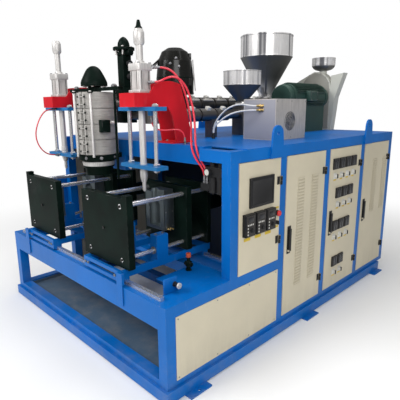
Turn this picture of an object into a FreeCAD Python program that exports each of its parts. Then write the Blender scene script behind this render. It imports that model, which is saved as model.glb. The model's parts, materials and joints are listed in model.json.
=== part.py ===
"""Two-station extrusion blow moulding machine, modelled at full size in millimetres.

+Z is up, +X points to the side with the control doors and -Y to the clamp end. The origin is on the floor, at the
centre of the upper frame. Every length below is a driving size in the sheet; places are worked out from them.
"""
import FreeCAD, Part
import math
import os
import Sketcher
from FreeCAD import Placement, Rotation, Vector

doc = FreeCAD.newDocument("BlowMouldingMachine")
sheet = doc.addObject("Spreadsheet::Sheet", "Sizes")

# ---------------------------------------------------------------- driving sizes, in millimetres
SIZES = {
    # welded frame
    "Width": 2150, "Length": 3050, "BaseLength": 2924, "BedDepth": 547,
    "DeckHeight": 1450, "BedHeight": 615, "PostSize": 75, "BottomRail": 42, "TopBeam": 76,
    "FrontRail": 153, "FrontRailDepth": 80, "SideRail": 79, "BeamLip": 12, "BeamDrop": 110,
    "ChannelHeight": 77, "ChannelWidth": 100, "ChannelOut": 20, "ChannelWall": 8, "CrossWidth": 80,
    "FootThick": 10, "FootLength": 180, "FootWidth": 140, "FootOut": 50, "AnchorRadius": 9,
    "PostTwo": 1077, "PostThree": 1705, "PostFour": 2349,
    "DeckThick": 6, "DeckBeam": 60, "BedPlate": 8, "BedMargin": 74, "ValveShelf": 226, "ShelfDepth": 312,
    "ShuttleBeamAt": 735, "ShuttleBeamDepth": 80,
    "TrayThick": 6, "TrayLip": 30, "GuardThick": 6, "GuardDepth": 222, "GuardHeight": 430,
    "LugWidth": 150, "LugHeight": 146, "LugThick": 15, "LugHoleRadius": 13, "LugHoleDrop": 58,
    "LugOneAt": 1019, "LugTwoAt": 2461,
    "BeamInset": 38, "BeamRise": 15, "RingWidth": 275, "HangHalf": 90, "HangLow": -235, "DeckGap": 40, "WallX": 800,
    # sheet covers and doors
    "SheetThick": 4, "DoorThick": 22, "DoorProud": 4, "DoorGap": 3, "DoorWall": 2, "PanelLap": 3,
    "HingeRadius": 8, "HingeLength": 60, "HingeLeaf": 26, "HingeInset": 160,
    "HandleWidth": 24, "HandleLength": 170, "HandleThick": 14, "HandleInset": 55, "HandleBottom": 655,
    "HandleOut": 10, "HandleEar": 7, "HandleWall": 4, "HandlePin": 3, "HingeOut": 9, "HingeGap": 0.3, "LeafThick": 3,
    "SlotLength": 0.174, "SlotHeight": 8, "SlotPitch": 24, "SlotDepth": 1.5,
    "ScreenWidth": 0.583, "ScreenHeight": 200, "ScreenThick": 12, "ScreenBottom": -384, "ScreenInset": 0.223,
    "DriveWidth": 0.223, "DriveHeight": 150, "DriveThick": 30, "DrivePitch": 0.256, "DriveBottom": -566,
    "StopRadius": 21, "StopTravel": 6, "StopHeight": -470, "StopInset": 34,
    "ControllerSize": 0.16, "ControllerThick": 10, "ControllerPitch": 0.192, "SwitchRadius": 14,
    "SlotInset": 0.274, "SlotGap": 0.187, "RearInset": 0.365, "RearGap": 0.231, "SlotLow": 338, "SlotMid": 690, "ScreenRim": 18, "ScreenRecess": 4, "DriveInset": 0.08,
    "StopStem": 9, "CollarThick": 12, "SelectorHeight": -539, "RowOne": 0.8276, "RowTwo": 0.6517, "RowThree": 0.4517,
    "RowFour": 0.2207, "InsetOne": 0.082, "InsetTwo": 0.21, "InsetThree": 0.156, "InsetFour": 0.2185, "SwitchDrop": 58,
    # bed slides
    "SlideWidth": 30, "SlideHeight": 25, "FrontSlideAt": 52, "SlideEnd": 15,
    "BufferAt": 113, "BufferDepth": 102, "BufferHeight": 95, "BufferBack": 50, "BufferLength": 104, "BufferRadius": 15,
    "ValveInset": 325, "ValveBack": 63, "ValveRadius": 22, "ValveHeight": 95,
    "AirWidth": 150, "AirDepth": 66, "AirLow": -280, "AirBowl": 110, "AirHead": 60, "AirRadius": 28,
    # clamp stations
    "DieX": -190, "ClampY": 395, "PinReach": 590, "LeftReach": 565, "LeftShift": 225,
    "CarriageWidth": 450, "CarriageFront": 10, "CarriageLow": 15, "CarriageRail": 50, "CarriageWall": 20,
    "CarriageFace": 22, "CarriageDrop": 25, "CarriageRear": 825, "RunnerLift": 5, "RunnerWidth": 54, "SlideGap": 0.3,
    "BearingWidth": 70, "BearingDepth": 100, "BearingAt": 310, "BearingTop": 257, "CarriageFloor": 10,
    "StripOut": 40, "StripGap": 3, "StripLow": -125,
    "PlatenWidth": 540, "RearWidth": 480, "PlatenHeight": 460, "PlatenThick": 48, "PlatenLow": 97, "PlatenFront": 50,
    "EarWidth": 46, "EarHeight": 22, "RearPlatenAt": 575, "EndPlateAt": 785, "EndPlateThick": 36,
    "BarRadius": 16, "BarSpread": 195, "BarHigh": 504, "GuideRadius": 14, "GuideSpread": 192, "GuideHigh": 151,
    "SlideFit": 0.05, "MouldWidth": 206, "MouldThick": 95, "MouldLow": 230, "MouldHeight": 274,
    "NeckHeight": 25, "NeckLeft": 35, "NeckSetback": 5, "CavityRadius": 62, "NeckRadius": 30, "CavityLow": 25,
    "CavityTop": 190, "CylinderRadius": 58, "CylinderBore": 50, "CylinderLength": 345, "CylinderEnd": 14,
    "RamRadius": 22, "RamHigh": 330, "PistonThick": 25, "PistonGap": 2,
    # blow units
    "ArmHalf": 85, "ArmWall": 12, "ArmLow": 272, "ArmFrontTop": 362, "ArmFront": 118, "ArmSeat": 27,
    "ArmNeckY": 557, "ArmNeckBend": 260, "ArmHeelY": 618, "ArmHeelZ": 110, "ArmFootY": 635, "ArmBackY": 784,
    "ArmFootRise": 25, "ArmWaistY": 728, "ArmWaistZ": 276, "ArmCrownY": 675, "ArmCrownZ": 425,
    "ArmCrownBend": 300, "ArmBrowY": 450, "ArmBrowZ": 418, "ArmLipY": 405,
    "CagePlate": 26, "CageLength": 410, "CageDepth": 100, "CageLow": -145, "RodRadius": 14, "RodSpread": 145,
    "RodTail": 16, "TubeRadius": 73, "TubeTop": 508, "TubeBore": 62, "TubeFloor": 15,
    "CapRadius": 84, "CapHeight": 43, "SpindleRadius": 23, "SpindleTop": 668,
    "SleeveRadius": 36, "SleeveHeight": 102, "HolderRadius": 27, "HolderLow": -245, "HolderHeight": 130,
    "HolderTaper": 40, "PinRadius": 13, "PinLow": -313, "PistonHeight": 25, "LeftRaise": 49, "RightRaise": 0,
    "TipHeight": 54,
    # die head
    "HeadRadius": 130, "HeadLow": -89, "HeadTop": 385, "BandThick": 17, "BandGap": 6, "RingRadius": 153,
    "RingHeight": 40, "FlangeRadius": 122, "FlangeHeight": 57, "BushRadius": 100, "BushHeight": 64,
    "CapNeck": 50, "CapRise": 45, "CapDisc": 100, "CapDiscThick": 14, "CapCone": 105, "CapTop": 36,
    "YokeLength": 700, "YokeDepth": 44, "YokeThick": 24, "YokeRise": 8, "HangerRadius": 9, "HangerSpread": 270,
    "HangerLeftLow": -114, "HangerRightLow": -260,
    # extruders and drive
    "BarrelHigh": 285, "BarrelRadius": 55, "BarrelBand": 72, "BandLength": 170, "BandSpace": 20,
    "BandFront": 765, "BandRear": 1315, "FeedAt": 2585, "FeedSize": 200, "FeedRise": 75, "ScrewRadius": 34,
    "ScrewBore": 36, "TowerAt": 683, "TowerBase": 120, "TowerFoot": 423, "TowerRadius": 40, "TowerTop": 680,
    "TowerPlate": 12, "TowerPlateSize": 170, "TowerGap": 38, "DrumAt": 1225, "DrumStand": 85, "DrumRadius": 165,
    "DrumHeight": 400,
    "HopperRadius": 288, "HopperWall": 4, "HopperThroat": 70, "HopperNeck": 40, "HopperCone": 392,
    "HopperTube": 229, "GearLength": 230, "GearWidth": 340, "GearHeight": 420, "GearFoot": 25,
    "MotorRadius": 128, "MotorLength": 740, "MotorX": 300, "MotorHigh": 358, "MotorAt": 2175, "MotorBell": 70,
    "BeltDepth": 90, "BeltRear": 3045, "BeltRadius": 180, "BeltX": 226, "BeltHigh": 455, "BeltSmall": 110,
    "BeltSmallHigh": 330, "DuctLow": 25, "DuctMid": 60, "DuctTop": 146, "DuctHigh": 610,
    "SideBarrelX": 150, "SideBarrelHigh": 200, "SideBarrelRadius": 42, "SideBand": 55, "SideBandAt": 120,
    "SideFeedAt": 1760, "SideFeedSize": 130, "SideFeedRise": 91, "SideThroat": 45, "SideCone": 151,
    "SideHopperTube": 128, "SideRadius": 178, "BowlRadius": 126, "BowlTube": 90, "BowlRise": 40, "BowlX": 285,
    "BowlNeck": 40,
    "CoolerX": 507, "CoolerWidth": 318, "CoolerAt": 1355, "CoolerDepth": 430, "CoolerHeight": 319,
    "FanRadius": 66, "FanHole": 76, "FanDepth": 60, "FanY": 198, "FanHigh": 152, "FanHub": 18, "FanShaft": 8,
    "FanThick": 24, "FanBack": 20, "FanSheet": 4, "GrilleWire": 2,
    # air hoses and conduits
    "HoseRadius": 7, "ThinHoseRadius": 5, "ConduitRadius": 6.5, "PortWall": 2, "PortSink": 7, "PortOut": 21,
    "ArmPort": 430, "PortBlock": 40, "PortBlockHeight": 32, "PortStem": 8, "GlandHeight": 20, "CagePortAt": 430,
    "CagePortX": 60, "CageGlandX": 580, "ManifoldLong": 75, "ManifoldDepth": 50, "ManifoldHeight": 45,
    "ManifoldLow": -270, "PortPitch": 26, "PortInset": 12, "ConduitX": 702, "ConduitReach": 34, "ConduitHigh": 272,
    "ConduitPitch": 32, "GlandOneX": 250, "GlandOneAt": 1257, "GlandTwoX": 310, "GlandTwoAt": 1201,
}
for row, (alias, amount) in enumerate(SIZES.items(), start=1):
    sheet.set(f"A{row}", alias)
    sheet.set(f"B{row}", str(amount))
    sheet.setAlias(f"B{row}", alias)
sheet.recompute()


class Size:
    """A length that knows both its value and the sheet expression that drives it."""

    def __init__(self, text, value):
        self.text = text
        self.value = value

    def __add__(self, other):
        return Size(f"({self.text} + {text_of(other)})", self.value + value_of(other))

    def __radd__(self, other):
        return Size(f"({text_of(other)} + {self.text})", value_of(other) + self.value)

    def __sub__(self, other):
        return Size(f"({self.text} - {text_of(other)})", self.value - value_of(other))

    def __rsub__(self, other):
        return Size(f"({text_of(other)} - {self.text})", value_of(other) - self.value)

    def __mul__(self, other):
        return Size(f"({self.text} * {text_of(other)})", self.value * value_of(other))

    __rmul__ = __mul__

    def __truediv__(self, other):
        return Size(f"({self.text} / {text_of(other)})", self.value / value_of(other))

    def __neg__(self):
        return Size(f"(-1 * {self.text})", -self.value)


def text_of(amount):
    return amount.text if isinstance(amount, Size) else repr(float(amount))


def value_of(amount):
    return amount.value if isinstance(amount, Size) else float(amount)


class Sizes:
    """The sheet's cells by name."""

    def __getattr__(self, alias):
        return Size(f"Sizes.{alias}", float(sheet.get(alias)))


s = Sizes()
nodes = {}


class From:
    """The sheet's cells read as distances from one face of the frame."""

    def __init__(self, level):
        self.level = level

    def __getattr__(self, alias):
        return self.level + getattr(s, alias)


# ---------------------------------------------------------------- building blocks
TURN = {"x": Rotation(Vector(0, 1, 0), 90), "y": Rotation(Vector(1, 0, 0), -90), "z": Rotation()}


def bind(obj, prop, amount):
    obj.setExpression(prop, text_of(amount))


def put(obj, x, y, z):
    for axis, amount in zip("xyz", (x, y, z)):
        bind(obj, f"Placement.Base.{axis}", amount)
    return obj


def slab(name, x0, x1, y0, y1, z0, z1):
    """A box between two limits on each axis."""
    obj = doc.addObject("Part::Box", name)
    for prop, low, high in (("Length", x0, x1), ("Width", y0, y1), ("Height", z0, z1)):
        bind(obj, prop, high - low)
    return put(obj, x0, y0, z0)


def rod(name, axis, x, y, z, radius, length):
    """A cylinder that starts at a point and runs along +axis."""
    obj = doc.addObject("Part::Cylinder", name)
    bind(obj, "Radius", radius)
    bind(obj, "Height", length)
    obj.Placement = Placement(Vector(), TURN[axis])
    return put(obj, x, y, z)


def cone(name, axis, x, y, z, radius, end_radius, length):
    obj = doc.addObject("Part::Cone", name)
    bind(obj, "Radius1", radius)
    bind(obj, "Radius2", end_radius)
    bind(obj, "Height", length)
    obj.Placement = Placement(Vector(), TURN[axis])
    return put(obj, x, y, z)


def spout(name, x, y, z, heading, radius, length):
    """A short level pipe that leaves a point at a heading, in degrees from +X."""
    obj = rod(name, "x", x, y, z, radius, length)
    obj.Placement = Placement(Vector(), Rotation(Vector(0, 0, 1), heading) * TURN["x"])
    return put(obj, x, y, z)


def fuse(name, *parts, refine=True):
    obj = doc.addObject("Part::MultiFuse", name)
    obj.Shapes = list(parts)
    obj.Refine = refine
    return obj


def group(name, *parts):
    """Separate solids kept in one sub-part."""
    obj = doc.addObject("Part::Compound", name)
    obj.Links = list(parts)
    return obj


def cut(name, base, *tools):
    obj = doc.addObject("Part::Cut", name)
    obj.Base = base
    obj.Tool = tools[0] if len(tools) == 1 else fuse(f"{name}Tools", *tools)
    return obj


def node(name, obj):
    """Names a finished sub-part; its label names its file."""
    obj.Label = name
    nodes[name] = obj
    return obj


def new_sketch(body, plane, name, offset=0):
    """A sketch on one of the body's own origin planes, moved along the plane's normal."""
    sketch = body.newObject("Sketcher::SketchObject", name)
    origin = next(f for f in body.Origin.OriginFeatures if f.Role == plane)
    sketch.AttachmentSupport = [(origin, "")]
    sketch.MapMode = "FlatFace"
    bind(sketch, "AttachmentOffset.Base.z", offset)
    return sketch


def drive(sketch, kind, index, amount, *ids):
    """Adds one dimension to a sketch and ties it to the sheet."""
    number = sketch.addConstraint(Sketcher.Constraint(kind, *ids, value_of(amount)))
    sketch.renameConstraint(number, index)
    bind(sketch, f"Constraints.{index}", amount)


def arc_between(start, end, radius):
    """The shorter arc of a signed radius: positive bulges to the left of the way from start to end."""
    chord = end - start
    side = Vector(-chord.y, chord.x, 0).normalize()
    size = abs(radius)
    sag = size - math.sqrt(max(size * size - chord.Length ** 2 / 4, 0))
    middle = (start + end) * 0.5 + side * (sag if radius > 0 else -sag)
    return Part.Arc(start, middle, end).toShape().Curve, start, middle, end


def outline(sketch, points, tag="P"):
    """A closed outline through driven points; a third entry bends the edge that leaves the point."""
    first = sketch.GeometryCount
    spots = [Vector(value_of(p[0]), value_of(p[1]), 0) for p in points]
    count = len(points)
    for i, point in enumerate(points):
        start, end = spots[i], spots[(i + 1) % count]
        if len(point) == 3:
            _, a, m, b = arc_between(start, end, value_of(point[2]))
            sketch.addGeometry(Part.Arc(a, m, b), False)
        else:
            sketch.addGeometry(Part.LineSegment(start, end), False)
    for i, point in enumerate(points):
        bent = len(point) == 3
        begin, finish = ends_of(sketch, first + i, spots[i], bent)
        after = (i + 1) % count
        next_begin = ends_of(sketch, first + after, spots[after], len(points[after]) == 3)[0]
        sketch.addConstraint(Sketcher.Constraint("Coincident", first + i, finish, first + after, next_begin))
        drive(sketch, "DistanceX", f"{tag}x{i}", point[0], first + i, begin)
        drive(sketch, "DistanceY", f"{tag}y{i}", point[1], first + i, begin)
        if bent:
            size = point[2] if value_of(point[2]) > 0 else -point[2]
            drive(sketch, "Radius", f"{tag}r{i}", size, first + i)


def ends_of(sketch, geometry, start, bent):
    """Which end of an edge sits on its start point: arcs may be stored the other way round."""
    if bent and (sketch.getPoint(geometry, 1) - start).Length > 1e-6:
        return 2, 1
    return 1, 2


def ring(sketch, x, y, radius, tag="C"):
    """A driven circle."""
    number = sketch.addGeometry(Part.Circle(Vector(value_of(x), value_of(y), 0), Vector(0, 0, 1),
                                            value_of(radius)), False)
    drive(sketch, "DistanceX", f"{tag}x", x, number, 3)
    drive(sketch, "DistanceY", f"{tag}y", y, number, 3)
    drive(sketch, "Radius", f"{tag}r", radius, number)


def feature(body, kind, name, sketch, length=None, backwards=False):
    obj = body.newObject(f"PartDesign::{kind}", name)
    obj.Profile = sketch
    if length is not None:
        bind(obj, "Length", length)
    obj.Reversed = backwards
    return obj


def new_body(name):
    return doc.addObject("PartDesign::Body", name)


def revolved(name, points, x, y, z):
    """A turned piece: its half section in radius and height, spun about a vertical axis."""
    body = new_body(name)
    sketch = new_sketch(body, "XZ_Plane", f"{name}Section")
    outline(sketch, points)
    turn = body.newObject("PartDesign::Revolution", f"{name}Turn")
    turn.Profile = sketch
    turn.ReferenceAxis = (sketch, ["V_Axis"])
    turn.Angle = 360
    return put(body, x, y, z)


# ---------------------------------------------------------------- places worked out from the sizes
front = -s.Length / 2
rear = s.Length / 2
side = s.Width / 2
inner = side - s.PostSize
cabinet = front + s.BedDepth
frame_low = s.FootThick + s.ChannelHeight
rail_top = frame_low + s.BottomRail
beam_low = s.DeckHeight - s.TopBeam
sill_low = s.BedHeight - s.SideRail
post_starts = [s.BedDepth, s.PostTwo, s.PostThree, s.PostFour, s.Length - s.PostSize]
base_rear = front + s.BaseLength
over_deck = From(s.DeckHeight)
over_bed = From(s.BedHeight)
behind = From(front)


# ---------------------------------------------------------------- base ring, bed and cabinet frame
out = side + s.ChannelOut
lip = s.ChannelWall
base_y0, base_y1 = front - s.ChannelOut, base_rear + s.ChannelOut
base_parts = []


def channel(tag, x0, x1, y0, y1, web):
    """One channel of the base: its upright web and its two flanges, as separate plates."""
    base_parts.append(slab(f"{tag}Low", x0, x1, y0, y1, s.FootThick, s.FootThick + lip))
    base_parts.append(slab(f"{tag}High", x0, x1, y0, y1, frame_low - lip, frame_low))
    base_parts.append(slab(f"{tag}Web", *web, s.FootThick + lip, frame_low - lip))


channel("ChannelR", out - s.ChannelWidth, out, base_y0, base_y1, (out - lip, out, base_y0, base_y1))
channel("ChannelL", -out, s.ChannelWidth - out, base_y0, base_y1, (-out, lip - out, base_y0, base_y1))
channel("ChannelFront", s.ChannelWidth - out, out - s.ChannelWidth, base_y0, base_y0 + s.ChannelWidth,
        (lip - out, out - lip, base_y0, base_y0 + lip))
channel("ChannelRear", s.ChannelWidth - out, out - s.ChannelWidth, base_y1 - s.ChannelWidth, base_y1,
        (lip - out, out - lip, base_y1 - lip, base_y1))
base_parts += [slab(f"CrossMember{i}", s.ChannelWidth - out, out - s.ChannelWidth,
                    front + at - s.CrossWidth / 2, front + at + s.CrossWidth / 2, s.FootThick, frame_low)
               for i, at in enumerate((s.BedDepth / 2, s.PostTwo, s.PostThree, s.PostFour))]
foot_spots = [-base_rear, -s.FootLength / 2, base_rear - s.FootLength]
for i, spot in enumerate(foot_spots):
    for tag, sign, low, high in (("R", 1, out + s.FootOut - s.FootWidth, out + s.FootOut),
                                 ("L", -1, -out - s.FootOut, s.FootWidth - out - s.FootOut)):
        foot = slab(f"Foot{tag}{i}", low, high, spot, spot + s.FootLength, 0, s.FootThick)
        if i != 1:
            foot = cut(f"FootDrilled{tag}{i}", foot,
                       rod(f"Anchor{tag}{i}", "z", sign * (out + s.FootOut / 2), spot + s.FootLength / 2, 0,
                           s.AnchorRadius, s.FootThick))
        base_parts.append(foot)
node("base_frame", group("BaseFrame", *base_parts))

bed_parts = [slab("BedFrontBottom", -inner, inner, front, front + s.PostSize, frame_low, rail_top),
             slab("BedFrontRail", -inner, inner, front, front + s.FrontRailDepth, s.BedHeight - s.FrontRail,
                  s.BedHeight)]
for tag, low, high in (("R", inner, side), ("L", -side, -inner)):
    bed_parts += [slab(f"BedPost{tag}", low, high, front, front + s.PostSize, frame_low, s.BedHeight),
                  slab(f"BedBottom{tag}", low, high, front + s.PostSize, cabinet, frame_low, rail_top),
                  slab(f"BedRail{tag}", low, high, front + s.PostSize, cabinet, sill_low, s.BedHeight)]
margin_x = side - s.BedMargin - s.PostSize
bed_parts += [slab("BedMargin", margin_x, inner, front + s.FrontRailDepth, cabinet, s.BedHeight - s.BedPlate,
                   s.BedHeight),
              slab("BedShelf", margin_x - s.ValveShelf, margin_x, cabinet - s.ShelfDepth, cabinet,
                   s.BedHeight - s.BedPlate, s.BedHeight),
              slab("BedGuard", -side, s.GuardThick - side, cabinet - s.GuardDepth - s.BeamLip, cabinet,
                   s.BedHeight, s.BedHeight + s.GuardHeight)]
node("bed_frame", group("BedFrame", *bed_parts))

tray_y0 = front + s.FrontRailDepth
tray_half = inner - s.TrayThick
tray_floor = frame_low + s.TrayThick
tray_lip = frame_low + s.TrayLip
node("drip_tray", group(
    "DripTray",
    slab("TrayFloor", -tray_half, tray_half, tray_y0, cabinet, frame_low, tray_floor),
    slab("TrayFrontLip", -tray_half, tray_half, tray_y0, tray_y0 + s.TrayThick, tray_floor, tray_lip),
    slab("TrayRearLip", -tray_half, tray_half, cabinet - s.TrayThick, cabinet, tray_floor, tray_lip),
    slab("TrayLipR", tray_half - s.TrayThick, tray_half, tray_y0 + s.TrayThick, cabinet - s.TrayThick, tray_floor,
         tray_lip),
    slab("TrayLipL", -tray_half, s.TrayThick - tray_half, tray_y0 + s.TrayThick, cabinet - s.TrayThick, tray_floor,
         tray_lip)))


def ear(name, x, at):
    """A lifting ear: a tapered plate with a half-round head and an eye."""
    body = new_body(name)
    head = s.LugHoleDrop
    top = s.LugHeight + s.TopBeam - head
    sketch = new_sketch(body, "YZ_Plane", f"{name}Face")
    outline(sketch, [(-s.LugWidth / 2, 0), (s.LugWidth / 2, 0), (head, top, -head * 1.0001), (-head, top)])
    ring(sketch, 0, top, s.LugHoleRadius)
    feature(body, "Pad", f"{name}Plate", sketch, s.LugThick)
    return put(body, x, front + at, beam_low)


cabinet_parts = []
for tag, low, high, plate in (("R", inner, side, side), ("L", -side, -inner, -side - s.LugThick)):
    for i, start in enumerate(post_starts):
        cabinet_parts.append(slab(f"Post{tag}{i}", low, high, front + start, front + start + s.PostSize,
                                  rail_top, beam_low))
    cabinet_parts += [slab(f"BottomRail{tag}", low, high, cabinet, rear, frame_low, rail_top),
                      slab(f"TopRail{tag}", low, high, cabinet, rear, beam_low, s.DeckHeight),
                      slab(f"MidRail{tag}", low, high, cabinet + s.PostSize, front + s.PostTwo, sill_low, s.BedHeight),
                      ear(f"LugOne{tag}", plate, s.LugOneAt), ear(f"LugTwo{tag}", plate, s.LugTwoAt)]
beam_y0 = cabinet + s.BeamInset
beam_y1 = beam_y0 + s.FrontRailDepth
beam_top = s.DeckHeight + s.BeamRise
cabinet_parts += [slab("RearBottom", -inner, inner, rear - s.PostSize, rear, frame_low, rail_top),
                  slab("RearTop", -inner, inner, rear - s.PostSize, rear, beam_low, s.DeckHeight),
                  slab("RingFront", side - s.RingWidth, inner, cabinet, cabinet + s.PostSize, beam_low, s.DeckHeight),
                  slab("DieBeam", -inner, side - s.RingWidth, beam_y0, beam_y1, s.DeckHeight - s.BeamDrop, beam_top),
                  slab("HangingBox", s.DieX - s.HangHalf, s.DieX + s.HangHalf, beam_y0, beam_y1, over_deck.HangLow,
                       s.DeckHeight - s.BeamDrop),
                  slab("Sill", -inner, inner, cabinet, cabinet + s.PostSize, sill_low, s.BedHeight),
                  slab("ShuttleBeam", -inner, inner, front + s.ShuttleBeamAt, front + s.ShuttleBeamAt + s.ShuttleBeamDepth,
                       sill_low, s.BedHeight)]
cabinet_parts += [slab(f"DeckBeam{i}", -inner, inner, front + at, front + at + s.DeckBeam, beam_low, s.DeckHeight)
                  for i, at in enumerate((s.PostTwo, s.PostThree, s.PostFour))]
node("cabinet_frame", group("CabinetFrame", *cabinet_parts))

deck_top = s.DeckHeight + s.DeckThick
deck_y0 = beam_y1 + s.DeckGap
gland_radius = s.ConduitRadius + s.PortWall
gland_top = deck_top + s.GlandHeight
node("deck_plate", group("DeckPlate", slab("DeckSheet", -side, side, deck_y0, rear, s.DeckHeight, deck_top),
                         rod("GlandOne", "z", s.GlandOneX, behind.GlandOneAt, deck_top, gland_radius, s.GlandHeight),
                         rod("GlandTwo", "z", s.GlandTwoX, behind.GlandTwoAt, deck_top, gland_radius, s.GlandHeight)))


# ---------------------------------------------------------------- fixed sheets, rear bulkhead and electrical backs
def bay(i):
    """The clear space between two side posts."""
    starts = post_starts
    return front + starts[i] + s.PostSize, front + starts[i + 1]


lap = s.PanelLap
sheet_x = side + s.SheetThick
sheets = [slab("LowerSheetR", side, sheet_x, front + s.PostSize - lap, front + s.PostTwo + lap, rail_top - lap,
               sill_low + lap)]
for i in range(4):
    y0, y1 = bay(i)
    sheets.append(slab(f"LeftSheet{i}", -sheet_x, -side, y0 - lap, y1 + lap, rail_top - lap, beam_low))
sheets.append(slab("RearSheet", lap - inner, inner - lap, rear, rear + s.SheetThick, rail_top - lap, beam_low + lap))
bulkhead_y = front + s.PostThree
sheets.append(slab("Bulkhead", -inner, s.WallX, bulkhead_y, bulkhead_y + s.SheetThick, frame_low, beam_low))
sheets.append(slab("CableWall", s.WallX, s.WallX + s.SheetThick, front + s.PostTwo + s.DeckBeam + lap,
                   rear - s.PostSize, frame_low, beam_low))
node("fixed_panels", group("FixedPanels", *sheets))


# ---------------------------------------------------------------- doors, hinges and handles on the +X side
door_x0 = side + s.DoorProud - s.DoorThick
door_x1 = side + s.DoorProud
axis_x = door_x1 + s.HingeOut
pin_radius = s.HingeRadius / 2
door_low = rail_top + s.DoorGap
door_high = beam_low - s.DoorGap
knuckle = s.HingeLength / 2
fixed_leaves = []


def door(tag, i, low, inset):
    """A folded tray door in one bay, with the upper halves of its lift-off hinges."""
    y0, y1 = bay(i)
    y0, y1 = y0 + s.DoorGap, y1 - s.DoorGap
    body = new_body(f"{tag}Tray")
    face = new_sketch(body, "YZ_Plane", f"{tag}Face", door_x0)
    outline(face, [(y0, low), (y1, low), (y1, door_high), (y0, door_high)])
    feature(body, "Pad", f"{tag}Skin", face, s.DoorThick)
    back = new_sketch(body, "YZ_Plane", f"{tag}Back", door_x0)
    rim = s.DoorWall
    outline(back, [(y0 + rim, low + rim), (y1 - rim, low + rim), (y1 - rim, door_high - rim),
                   (y0 + rim, door_high - rim)])
    feature(body, "Pocket", f"{tag}Hollow", back, s.DoorThick - s.DoorWall, True)
    leaves, bores = [], []
    for j, z in enumerate((low + inset, door_high - inset)):
        top = z + s.HingeGap
        leaves += [slab(f"{tag}Leaf{j}", door_x1, door_x1 + s.LeafThick, y1 - s.HingeLeaf, y1, top, z + knuckle),
                   rod(f"{tag}Knuckle{j}", "z", axis_x, y1, top, s.HingeRadius, knuckle - s.HingeGap)]
        bores.append(rod(f"{tag}Bore{j}", "z", axis_x, y1, z, pin_radius + s.SlideFit, s.HingeLength))
        fixed_leaves.append(fuse(
            f"{tag}Fixed{j}",
            slab(f"{tag}Plate{j}", side, side + s.LeafThick, y1 + s.DoorGap, y1 + s.HingeLeaf, z - knuckle, z),
            slab(f"{tag}Wing{j}", side + s.LeafThick - 1, axis_x, y1 + s.DoorGap, y1 + s.HingeRadius, z - knuckle, z),
            rod(f"{tag}Post{j}", "z", axis_x, y1, z - knuckle, s.HingeRadius, knuckle),
            rod(f"{tag}Pin{j}", "z", axis_x, y1, z - knuckle, pin_radius, s.HingeLength)))
    return body, leaves, bores, y0, y1


def handle_ears(tag, y0):
    """Two small ears with a cross pin for the lever, on the door's face."""
    y = y0 + s.HandleInset
    x = door_x1 + s.HandleOut
    half = s.HandleWidth / 2
    gap = s.SlideGap
    ears = [slab(f"{tag}Ear{j}", door_x1, x + s.HandleEar, low, low + s.HandleWall,
                 s.HandleBottom - s.HandleEar, s.HandleBottom + s.HandleEar)
            for j, low in enumerate((y - half - gap - s.HandleWall, y + half + gap))]
    pin = rod(f"{tag}Pivot", "y", x, y - half - gap - s.HandleWall, s.HandleBottom, s.HandlePin,
              2 * (half + gap + s.HandleWall))
    lever = fuse(f"{tag}LeverSolid",
                 rod(f"{tag}LeverEye", "y", x, y - half, s.HandleBottom, s.HandleEar, s.HandleWidth),
                 slab(f"{tag}LeverBlade", x - s.HandleThick / 2, x + s.HandleThick / 2, y - half, y + half,
                      s.HandleBottom, s.HandleBottom + s.HandleLength))
    hole = rod(f"{tag}LeverBore", "y", x, y - half - 1, s.HandleBottom, s.HandlePin + s.SlideFit, s.HandleWidth + 2)
    return ears + [pin], cut(f"{tag}Lever", lever, hole)


def slots(body, tag, y, long, low, count):
    """A column of pressed louvre slots, repeated up the door's face."""
    first = new_sketch(body, "YZ_Plane", f"{tag}First", door_x1)
    outline(first, [(y, low), (y + long, low), (y + long, low + s.SlotHeight),
                    (y, low + s.SlotHeight)])
    pocket = feature(body, "Pocket", f"{tag}Slot", first, s.SlotDepth)
    doc.recompute()
    row = body.newObject("PartDesign::LinearPattern", f"{tag}Row")
    row.Originals = [pocket]
    row.Direction = (first, ["V_Axis"])
    bind(row, "Length", s.SlotPitch * (count - 1))
    row.Occurrences = count
    body.Tip = row


# the four doors in order from the clamp end
tray_doors = []
for i, (tag, low) in enumerate((("Control", s.BedHeight), ("Louvre", rail_top), ("Controller", rail_top),
                                ("Rear", rail_top))):
    body, leaves, bores, y0, y1 = door(tag, i, low + s.DoorGap, s.HingeInset)
    tray_doors.append((tag, body, leaves, bores, y0, y1))
for tag, i, inset, gap, low, count in (("Louvre", 1, s.SlotInset, s.SlotGap, s.SlotLow, 36),
                                       ("Rear", 3, s.RearInset, s.RearGap, s.SlotMid, 22)):
    y0, wide = tray_doors[i][4], tray_doors[i][5] - tray_doors[i][4]
    for k in range(2):
        slots(tray_doors[i][1], f"{tag}Slots{k}", y0 + (inset + k * (s.SlotLength + gap)) * wide, s.SlotLength * wide,
              low, count)
door_names = ("control_door", "louvre_door", "controller_door", "rear_door")
for (tag, body, leaves, bores, y0, y1), name in zip(tray_doors, door_names):
    fittings = []
    if name != "control_door":
        fittings, lever = handle_ears(tag, y0)
        node(name.replace("door", "handle"), lever)
    leaf = cut(f"{tag}Hinged", fuse(f"{tag}Leaves", *leaves), *bores)
    node(name, fuse(f"{tag}Door", body, leaf, *fittings))
node("door_hinges", group("DoorHinges", *fixed_leaves))

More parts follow.
